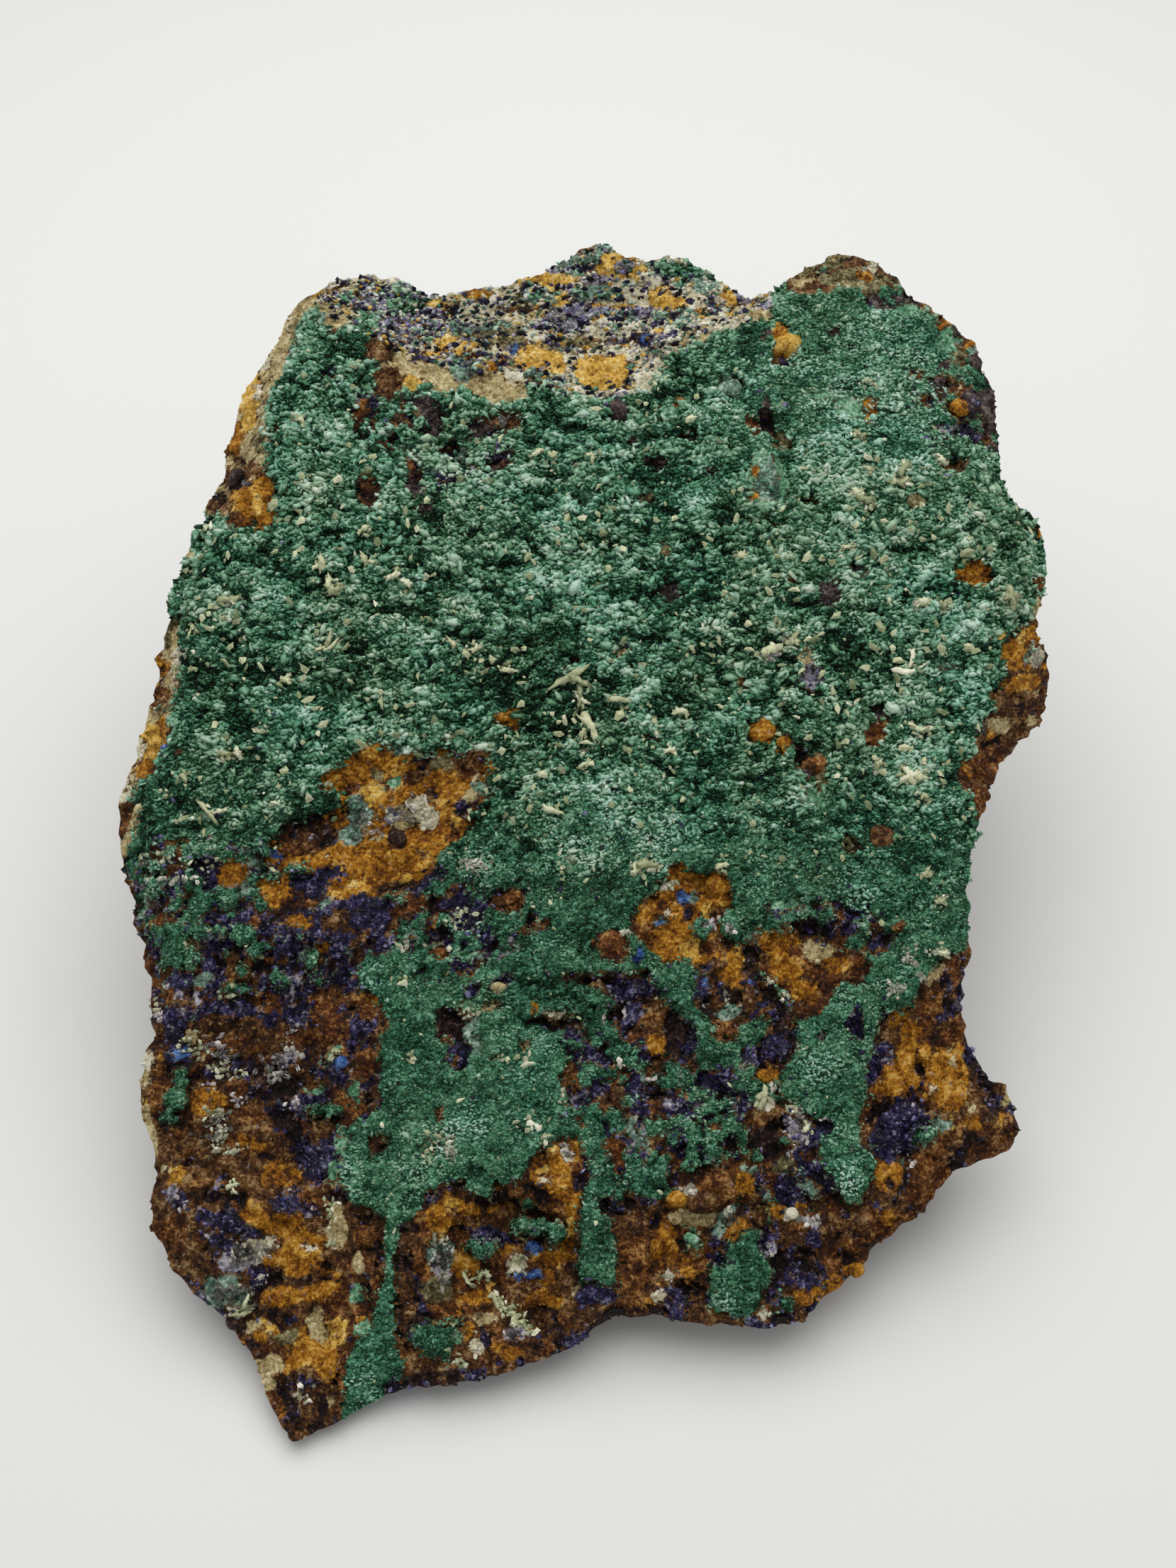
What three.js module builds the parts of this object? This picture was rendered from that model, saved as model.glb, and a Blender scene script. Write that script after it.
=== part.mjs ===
// Malachite specimen: one grown-together piece of copper ore. A broad face, crusted with malachite,
// leans toward the viewer; broken walls fall from its rim to a flat cut that the piece rests on.
//
// Millimetres, +Z up. X runs across the face, and Y runs back along it. On the face, u is the distance
// across, v the distance up the slope and w the height over the face plane.
import * as THREE from 'three';

// Driving dimensions
const FACE_TILT = THREE.MathUtils.degToRad(24); // lean of the face from level
const FACE_HEIGHT = 43; // height of the face's middle over the cut base
const BASE_MIDDLE = new THREE.Vector2(0, 6); // the walls lean toward this point, seen from above
const BASE_REACH = [56, 74, 90, 93, 94, 74, 67, 67, 88, 66, 68, 67]; // the base's radii round it, from +X
const SCOOP_DEPTH = 10; // fall of the scooped top edge under the face plane
const SCOOP_RUN = 26; // length over which the scoop falls
const RIM_FALLOFF = 4; // width of the rounded rim where it has no drop
const RIM_FALLOFF_PER_DROP = 0.5;
const SWELL_HEIGHT = 0.9; // gentle waves of the crust
const FRACTURE_DEPTH = 3.2; // relief of the flat broken facets on the walls
const FRACTURE_FULL_HEIGHT = 45; // height from which a wall has its full relief
const FRACTURE_START = 0.3; // part of the fall over which the relief sets in under the rim
const WALL_CURVE = 1.5; // over 1, the walls run in quickly under the rim and then stand steeper

// Facets
const FACE_COLUMNS = 32;
const FACE_ROWS = 40;
const EVENING_PASSES = 80;
const WALL_RINGS = 12;
const BASE_CORE_SIDES = 12;
const BASE_CORE_SIZE = 0.45; // size of the base's inner polygon, as a part of the whole base

// Rim of the face, one list for each side. Each point is [u, v, drop under the face plane].
const TOP_EDGE = [
  [-45, 110.5, 10], [-34, 110, 10], [-28, 106.5, 10], [-20.5, 108, 10], [-6, 112, 10], [2.5, 117, 9],
  [8, 114, 9], [17.5, 114, 9], [25.5, 108, 8], [29, 105, 7], [33.5, 105, 6], [38.5, 108.5, 6], [47, 114, 7],
];
const RIGHT_EDGE = [
  [71.5, -45.5, 6], [69.5, -40.5, 6], [64, -34, 5], [62, -27.5, 5], [63.5, -17, 4], [64, -3.5, 3],
  [67.5, 8, 5], [71.5, 17.5, 7], [77.5, 23, 8], [80.5, 34.5, 8], [78.5, 42, 6], [80.5, 49, 5],
  [80, 59, 5], [75.5, 63.5, 4], [73.5, 68, 4], [74, 79, 6], [72.5, 89, 6], [68.5, 97, 6], [60.5, 104, 6],
  [57.5, 109, 7], [53, 112, 7], [47, 114, 7],
];
const BOTTOM_EDGE = [
  [-44, -93, 3], [-35.5, -89, 4], [-28.5, -85.5, 4], [-18, -84, 4], [-10, -82, 4], [-2, -79, 4],
  [5, -75, 4], [12, -74.5, 4], [22.5, -75.5, 4], [32.5, -75.5, 4], [39.5, -70.5, 5], [45, -65.5, 5],
  [53, -59, 6], [60, -52, 6], [67.5, -49, 6], [71.5, -45.5, 6],
];
const LEFT_EDGE = [
  [-44, -93, 3], [-47.5, -88, 4], [-50.5, -81, 5], [-56.5, -74, 5], [-63.5, -67.5, 5], [-67.5, -60.5, 5],
  [-68, -51.5, 5], [-71, -39, 5], [-69.5, -28, 5], [-73, -13, 5], [-78, 6.5, 6], [-75, 19, 7],
  [-73, 32.5, 7], [-71.5, 45.5, 6], [-68, 58, 7], [-64, 71, 9], [-62, 85.5, 11], [-56.5, 97, 12],
  [-52, 107, 12], [-45, 110.5, 10],
];

// Ridge between the crusted face and the scooped top edge, as [u, v]
const SCOOP_RIDGE = [
  [-60, 122], [-50, 108], [-45, 97], [-38, 93], [-33, 89], [-25, 87], [-10, 84], [0, 79.5], [8, 81],
  [15, 89], [20, 91.5], [30, 97], [36, 106], [42, 118], [90, 122],
];

// Places where the crust is missing and the rock under it is open. turn is in degrees from +u toward +v.
const HOLLOWS = [
  { name: 'orange patch', u: -33, v: 4, across: 23, along: 12, turn: 20, depth: 2.4 },
  { name: 'violet band', u: -50, v: -20, across: 18, along: 7, turn: -8, depth: 1.6 },
  { name: 'dark lower left', u: -54, v: -40, across: 15, along: 18, turn: 0, depth: 2.6 },
  { name: 'brown lower left', u: -46, v: -70, across: 12, along: 12, turn: 30, depth: 3.2 },
  { name: 'bowl', u: -12, v: -67, across: 13, along: 12, turn: 10, depth: 5 },
  { name: 'lower right', u: 28, v: -64, across: 20, along: 10, turn: 15, depth: 3.2 },
  { name: 'right ochre', u: 54, v: -38, across: 10, along: 15, turn: 0, depth: 2.6 },
  { name: 'small ochre', u: 17, v: -11, across: 10, along: 8, turn: 0, depth: 1.6 },
  { name: 'brown shelf', u: 37, v: -19, across: 10, along: 7, turn: 0, depth: 1.8 },
  { name: 'dark saddle', u: -23, v: 76, across: 9, along: 5, turn: -20, depth: 1.6 },
];

function smooth(low, high, value) {
  return THREE.MathUtils.smoothstep(value, low, high);
}

/** A side of the rim as evenly spaced points: x is u, y is v and z is the drop. */
function sidePoints(edge, steps) {
  const points = edge.map(([u, v, drop]) => new THREE.Vector3(u, v, drop));
  return new THREE.CatmullRomCurve3(points, false, 'centripetal').getSpacedPoints(steps);
}

/** Height of the ridge line at u, by straight runs between its points. */
function ridgeAt(u) {
  const next = Math.max(1, SCOOP_RIDGE.findIndex(([ridgeU]) => ridgeU > u));
  const [u0, v0] = SCOOP_RIDGE[next - 1];
  const [u1, v1] = SCOOP_RIDGE[next];
  return THREE.MathUtils.mapLinear(u, u0, u1, v0, v1);
}

/** Fall of the scoop: none at the ridge, quick at first and then flatter toward the top edge. */
function scoopFall(u, v) {
  const run = THREE.MathUtils.clamp((v - ridgeAt(u)) / SCOOP_RUN, 0, 1);
  return SCOOP_DEPTH * (1 - (1 - run) ** 1.6);
}

/** Depth of one hollow: flat in the middle with a rounded edge on an ellipse. */
function hollowDepth(hollow, u, v) {
  const offset = new THREE.Vector2(u - hollow.u, v - hollow.v);
  offset.rotateAround(new THREE.Vector2(), -THREE.MathUtils.degToRad(hollow.turn));
  const reach = Math.hypot(offset.x / hollow.across, offset.y / hollow.along);
  return hollow.depth * (1 - smooth(0.7, 1.15, reach));
}

/** Long waves of the crusted face. */
function swell(u, v) {
  const broad = Math.sin(u / 13 + 1.3) * Math.cos(v / 17 - 0.6);
  const fine = Math.sin(u / 7.1 - v / 8.3 + 2.1) * Math.sin(v / 9.7 + u / 21);
  return SWELL_HEIGHT * (0.7 * broad + 0.5 * fine);
}

/** Height of the open face, away from its rim. */
function openHeight(u, v) {
  const hollows = HOLLOWS.reduce((sum, hollow) => sum + hollowDepth(hollow, u, v), 0);
  return swell(u, v) - scoopFall(u, v) - hollows;
}

/** Height of the face with its rounded rim: it blends to the drop of the nearest rim point. */
function faceHeight(u, v, rim) {
  let nearest = rim[0];
  let gap = Infinity;
  for (const point of rim) {
    const distance = Math.hypot(point.x - u, point.y - v);
    if (distance < gap) {
      gap = distance;
      nearest = point;
    }
  }
  const width = RIM_FALLOFF + RIM_FALLOFF_PER_DROP * nearest.z;
  const rimShare = 1 - smooth(0, width, gap);
  return THREE.MathUtils.lerp(openHeight(u, v), -nearest.z, rimShare);
}

/** A place on or near the face, turned into the specimen's own axes. */
function placeOnFace(u, v, w) {
  const back = v * Math.cos(FACE_TILT) - w * Math.sin(FACE_TILT);
  const up = v * Math.sin(FACE_TILT) + w * Math.cos(FACE_TILT);
  return new THREE.Vector3(u, back, up + FACE_HEIGHT);
}

/** A grid of rows that fills the rim, blended between its four sides (a Coons patch). */
function blendSides(bottom, top, left, right) {
  return left.map((leftPoint, row) => bottom.map((bottomPoint, column) => {
    const up = row / FACE_ROWS;
    const across = column / FACE_COLUMNS;
    return new THREE.Vector3()
      .addScaledVector(bottomPoint, 1 - up)
      .addScaledVector(top[column], up)
      .addScaledVector(leftPoint, 1 - across)
      .addScaledVector(right[row], across)
      .addScaledVector(bottom[0], -(1 - across) * (1 - up))
      .addScaledVector(bottom[FACE_COLUMNS], -across * (1 - up))
      .addScaledVector(top[0], -(1 - across) * up)
      .addScaledVector(top[FACE_COLUMNS], -across * up);
  }));
}

/** Evens out a grid inside its fixed rim: each pass moves a point halfway to its neighbours' middle. */
function evenOut(grid) {
  for (let pass = 0; pass < EVENING_PASSES; pass += 1) {
    for (let row = 1; row < FACE_ROWS; row += 1) {
      for (let column = 1; column < FACE_COLUMNS; column += 1) {
        const middle = new THREE.Vector3()
          .add(grid[row - 1][column])
          .add(grid[row + 1][column])
          .add(grid[row][column - 1])
          .add(grid[row][column + 1])
          .divideScalar(4);
        grid[row][column].lerp(middle, 0.5);
      }
    }
  }
}

/** The points of the face, row by row from the bottom edge. */
function facePoints() {
  const top = sidePoints(TOP_EDGE, FACE_COLUMNS);
  const bottom = sidePoints(BOTTOM_EDGE, FACE_COLUMNS);
  const left = sidePoints(LEFT_EDGE, FACE_ROWS);
  const right = sidePoints(RIGHT_EDGE, FACE_ROWS);
  const rim = [...bottom, ...right, ...top, ...left];
  const grid = blendSides(bottom, top, left, right);
  evenOut(grid);
  return grid.flat().map(({ x, y }) => placeOnFace(x, y, faceHeight(x, y, rim)));
}

/** A zigzag wave from -1 to 1: straight runs that meet in creases. */
function crease(turns) {
  return 1 - 4 * Math.abs(turns - Math.floor(turns) - 0.5);
}

/** Relief of a broken wall: crossing sets of flat facets, each set with its own slant and spacing. */
function fractureDepth(x, y, z) {
  const large = crease(x / 71 + y / 53 + z / 61 + 0.15);
  const middle = crease(x / 37 - y / 43 + z / 31 + 0.6);
  const small = crease(x / 19 + y / 23 - z / 17 + 0.35);
  return FRACTURE_DEPTH * (0.5 * large + 0.32 * middle + 0.18 * small - 0.3);
}

/** Distance of the base's outline from its middle, in a direction. It runs smoothly between the radii. */
function baseReach(angle) {
  const count = BASE_REACH.length;
  const turn = THREE.MathUtils.euclideanModulo(angle / (2 * Math.PI), 1) * count;
  const before = Math.floor(turn) % count;
  const after = (before + 1) % count;
  return THREE.MathUtils.lerp(BASE_REACH[before], BASE_REACH[after], smooth(0, 1, turn - Math.floor(turn)));
}

/** A point of the wall under a rim point. fall is 0 at the rim and 1 at the base. */
function wallPoint(rimPoint, fall) {
  const outward = new THREE.Vector2(rimPoint.x, rimPoint.y).sub(BASE_MIDDLE);
  const height = rimPoint.z * (1 - fall);
  const taper = 1 - (1 - fall) ** WALL_CURVE;
  const level = THREE.MathUtils.lerp(outward.length(), baseReach(outward.angle()), taper);
  const relief = Math.min(1, rimPoint.z / FRACTURE_FULL_HEIGHT) * smooth(0, FRACTURE_START, fall);
  outward.normalize();
  const smoothPlace = BASE_MIDDLE.clone().addScaledVector(outward, level);
  const reach = level + relief * fractureDepth(smoothPlace.x, smoothPlace.y, height);
  return new THREE.Vector3(BASE_MIDDLE.x + outward.x * reach, BASE_MIDDLE.y + outward.y * reach, height);
}

/** The outline of the face, once round, counterclockwise from above. */
function rimIndices() {
  const width = FACE_COLUMNS + 1;
  const indices = [];
  for (let column = 0; column < FACE_COLUMNS; column += 1) indices.push(column);
  for (let row = 0; row < FACE_ROWS; row += 1) indices.push(row * width + FACE_COLUMNS);
  for (let column = FACE_COLUMNS; column > 0; column -= 1) indices.push(FACE_ROWS * width + column);
  for (let row = FACE_ROWS; row > 0; row -= 1) indices.push(row * width);
  return indices;
}

/** Two triangles for each cell of the face. */
function addFaceTriangles(triangles) {
  const width = FACE_COLUMNS + 1;
  for (let row = 0; row < FACE_ROWS; row += 1) {
    for (let column = 0; column < FACE_COLUMNS; column += 1) {
      const corner = row * width + column;
      triangles.push(corner, corner + 1, corner + width + 1);
      triangles.push(corner, corner + width + 1, corner + width);
    }
  }
}

/** Rings of wall from the rim down to the base. Returns the lowest ring's indices. */
function addWalls(vertices, triangles) {
  const rim = rimIndices();
  let upper = rim;
  for (let ring = 1; ring <= WALL_RINGS; ring += 1) {
    const lower = rim.map((index) => vertices.push(wallPoint(vertices[index], ring / WALL_RINGS)) - 1);
    for (let i = 0; i < rim.length; i += 1) {
      const next = (i + 1) % rim.length;
      triangles.push(upper[i], lower[i], upper[next]);
      triangles.push(upper[next], lower[i], lower[next]);
    }
    upper = lower;
  }
  return upper;
}

/** The flat cut that the specimen rests on: a core polygon with fans out to the outline. */
function addBase(vertices, triangles, outline) {
  const middle = vertices.push(new THREE.Vector3(BASE_MIDDLE.x, BASE_MIDDLE.y, 0)) - 1;
  const span = outline.length / BASE_CORE_SIDES;
  const core = [];
  for (let side = 0; side < BASE_CORE_SIDES; side += 1) {
    const corner = vertices[middle].clone().lerp(vertices[outline[side * span]], BASE_CORE_SIZE);
    core.push(vertices.push(corner) - 1);
  }
  for (let side = 0; side < BASE_CORE_SIDES; side += 1) {
    const here = core[side];
    const beside = core[(side + 1) % BASE_CORE_SIDES];
    for (let i = side * span; i < (side + 1) * span; i += 1) {
      triangles.push(here, outline[(i + 1) % outline.length], outline[i]);
    }
    triangles.push(here, beside, outline[((side + 1) * span) % outline.length]);
    triangles.push(middle, beside, here);
  }
}

/** The whole stone as one closed surface. */
function stoneGeometry() {
  const vertices = facePoints();
  const triangles = [];
  addFaceTriangles(triangles);
  const outline = addWalls(vertices, triangles);
  addBase(vertices, triangles, outline);
  const geometry = new THREE.BufferGeometry().setFromPoints(vertices);
  geometry.setIndex(triangles);
  geometry.computeVertexNormals();
  return geometry;
}

function malachiteMaterial() {
  return new THREE.MeshStandardMaterial({ color: '#3f7a5e', roughness: 0.85, metalness: 0 });
}

const stone = new THREE.Mesh(stoneGeometry(), malachiteMaterial());
stone.name = 'malachite_specimen';
const box = new THREE.Box3().setFromObject(stone);
const middle = box.getCenter(new THREE.Vector3());
stone.position.set(-middle.x, -middle.y, -box.min.z);

const group = new THREE.Group();
group.add(stone);
export default group;
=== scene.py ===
"""Looks of the malachite specimen: the broken rock, its malachite crust and the small crystals on it.

Shapes are worked out in millimetres and turned to metres where a mesh is made. On the face, u is the distance
across, v the distance up the slope and w the height over the face plane, as in the solid model.
"""
import math
from functools import lru_cache
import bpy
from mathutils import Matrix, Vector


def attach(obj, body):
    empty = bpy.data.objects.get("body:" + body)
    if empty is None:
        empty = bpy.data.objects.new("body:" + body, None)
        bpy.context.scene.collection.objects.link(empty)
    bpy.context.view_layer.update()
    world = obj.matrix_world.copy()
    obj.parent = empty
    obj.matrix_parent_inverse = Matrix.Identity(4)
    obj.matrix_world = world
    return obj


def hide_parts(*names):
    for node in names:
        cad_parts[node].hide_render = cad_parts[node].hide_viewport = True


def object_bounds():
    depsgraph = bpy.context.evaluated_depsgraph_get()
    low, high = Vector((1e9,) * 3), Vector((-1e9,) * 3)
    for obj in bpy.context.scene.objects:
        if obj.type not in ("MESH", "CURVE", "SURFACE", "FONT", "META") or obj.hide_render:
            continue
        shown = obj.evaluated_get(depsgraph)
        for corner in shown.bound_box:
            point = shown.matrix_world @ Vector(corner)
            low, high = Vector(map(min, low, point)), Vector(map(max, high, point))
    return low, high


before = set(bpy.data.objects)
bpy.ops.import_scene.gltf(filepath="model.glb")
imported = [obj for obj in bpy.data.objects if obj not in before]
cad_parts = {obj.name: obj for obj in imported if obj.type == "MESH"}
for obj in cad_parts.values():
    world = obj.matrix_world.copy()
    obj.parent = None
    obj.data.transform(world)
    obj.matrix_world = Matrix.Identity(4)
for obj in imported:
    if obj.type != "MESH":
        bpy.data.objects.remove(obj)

from types import SimpleNamespace

import bpy
import numpy as np
from mathutils import Vector

bl_info = {
    "name": "Malachite Specimen",
    "version": (1, 0, 0),
    "blender": (4, 5, 0),
    "location": "3D View > Sidebar > Specimen",
    "description": "Builds a malachite, azurite and limonite hand specimen with its crust and crystals",
    "category": "Add Mesh",
}

NODE = "malachite_specimen"
BODY = "root"
CAD_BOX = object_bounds()
MM = 0.001
CAD_LOW, CAD_HIGH = (np.array(corner) / MM for corner in CAD_BOX)

# The stone's form, the same as the solid model's
FACE_TILT = math.radians(24)
FACE_HEIGHT = 43.0
BASE_MIDDLE = np.array([0.0, 6.0])
BASE_REACH = np.array([56, 74, 90, 93, 94, 74, 67, 67, 88, 66, 68, 67], float)
SCOOP_DEPTH = 10.0
SCOOP_RUN = 26.0
RIM_FALLOFF = 4.0
RIM_FALLOFF_PER_DROP = 0.5
SWELL_HEIGHT = 0.9
FRACTURE_DEPTH = 3.2
FRACTURE_FULL_HEIGHT = 45.0
FRACTURE_START = 0.3
WALL_CURVE = 1.5

TOP_EDGE = [
    (-45, 110.5, 10), (-34, 110, 10), (-28, 106.5, 10), (-20.5, 108, 10), (-6, 112, 10), (2.5, 117, 9),
    (8, 114, 9), (17.5, 114, 9), (25.5, 108, 8), (29, 105, 7), (33.5, 105, 6), (38.5, 108.5, 6), (47, 114, 7),
]
RIGHT_EDGE = [
    (71.5, -45.5, 6), (69.5, -40.5, 6), (64, -34, 5), (62, -27.5, 5), (63.5, -17, 4), (64, -3.5, 3),
    (67.5, 8, 5), (71.5, 17.5, 7), (77.5, 23, 8), (80.5, 34.5, 8), (78.5, 42, 6), (80.5, 49, 5),
    (80, 59, 5), (75.5, 63.5, 4), (73.5, 68, 4), (74, 79, 6), (72.5, 89, 6), (68.5, 97, 6), (60.5, 104, 6),
    (57.5, 109, 7), (53, 112, 7), (47, 114, 7),
]
BOTTOM_EDGE = [
    (-44, -93, 3), (-35.5, -89, 4), (-28.5, -85.5, 4), (-18, -84, 4), (-10, -82, 4), (-2, -79, 4),
    (5, -75, 4), (12, -74.5, 4), (22.5, -75.5, 4), (32.5, -75.5, 4), (39.5, -70.5, 5), (45, -65.5, 5),
    (53, -59, 6), (60, -52, 6), (67.5, -49, 6), (71.5, -45.5, 6),
]
LEFT_EDGE = [
    (-44, -93, 3), (-47.5, -88, 4), (-50.5, -81, 5), (-56.5, -74, 5), (-63.5, -67.5, 5), (-67.5, -60.5, 5),
    (-68, -51.5, 5), (-71, -39, 5), (-69.5, -28, 5), (-73, -13, 5), (-78, 6.5, 6), (-75, 19, 7),
    (-73, 32.5, 7), (-71.5, 45.5, 6), (-68, 58, 7), (-64, 71, 9), (-62, 85.5, 11), (-56.5, 97, 12),
    (-52, 107, 12), (-45, 110.5, 10),
]
SCOOP_RIDGE = np.array([
    (-60, 122), (-50, 108), (-45, 97), (-38, 93), (-33, 89), (-25, 87), (-10, 84), (0, 79.5), (8, 81),
    (15, 89), (20, 91.5), (30, 97), (36, 106), (42, 118), (90, 122),
], float)
# Hollows, as (u, v, across, along, turn in degrees, depth)
HOLLOWS = np.array([
    (-33, 4, 23, 12, 20, 2.4),
    (-50, -20, 18, 7, -8, 1.6),
    (-54, -40, 15, 18, 0, 2.6),
    (-46, -70, 12, 12, 30, 3.2),
    (-12, -67, 13, 12, 10, 5),
    (28, -64, 20, 10, 15, 3.2),
    (54, -38, 10, 15, 0, 2.6),
    (17, -11, 10, 8, 0, 1.6),
    (37, -19, 10, 7, 0, 1.8),
    (-23, 76, 9, 5, -20, 1.6),
], float)

# Fineness of the rock's surface: a point about every 0.75 mm
FACE_COLUMNS = 190
FACE_ROWS = 236
WALL_RINGS = 48
BASE_RINGS = 8
EVENING_PASSES = 700
EDGE_STEPS = 60  # steps of the curve between two points of an edge
PIT_PASSES = 8  # enough for the mean height to take in about 1.6 mm
CRUST_INSET = 0.8  # the tufts stand this much over the crust

# The camera's place from the middle of the face, in mm, and how far it looks down from level
CAMERA_FROM_FACE = (1.1, -198.2, 253.7)
CAMERA_DOWN = math.radians(50.16)
LENS = 45  # mm
SENSOR_WIDTH = 36  # mm
SOFT_BOX_PLACE = (0, 0.16, 0.57)  # metres
SOFT_BOX_TARGET = (0, 0, 0.04)  # metres

# Odd whole numbers and shifts that scatter a lattice's coordinates into random bits
HASH_OF_AXIS = (0x9E3779B1, 0x85EBCA77, 0xC2B2AE3D)
HASH_OF_SEED = 0x27D4EB2F
HASH_ROUNDS = ((15, 0x2C1B3C6D), (12, 0x297A2D39), (15, 0x85EBCA6B))

# Kinds of rock, in the order in which the rock's material lays them over each other
KINDS = [
    "crust", "brown", "rust", "olive", "tan", "ochre", "dark", "plum", "violet", "sage", "lilac", "cream",
    "gold", "mint", "blue",
]
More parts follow.
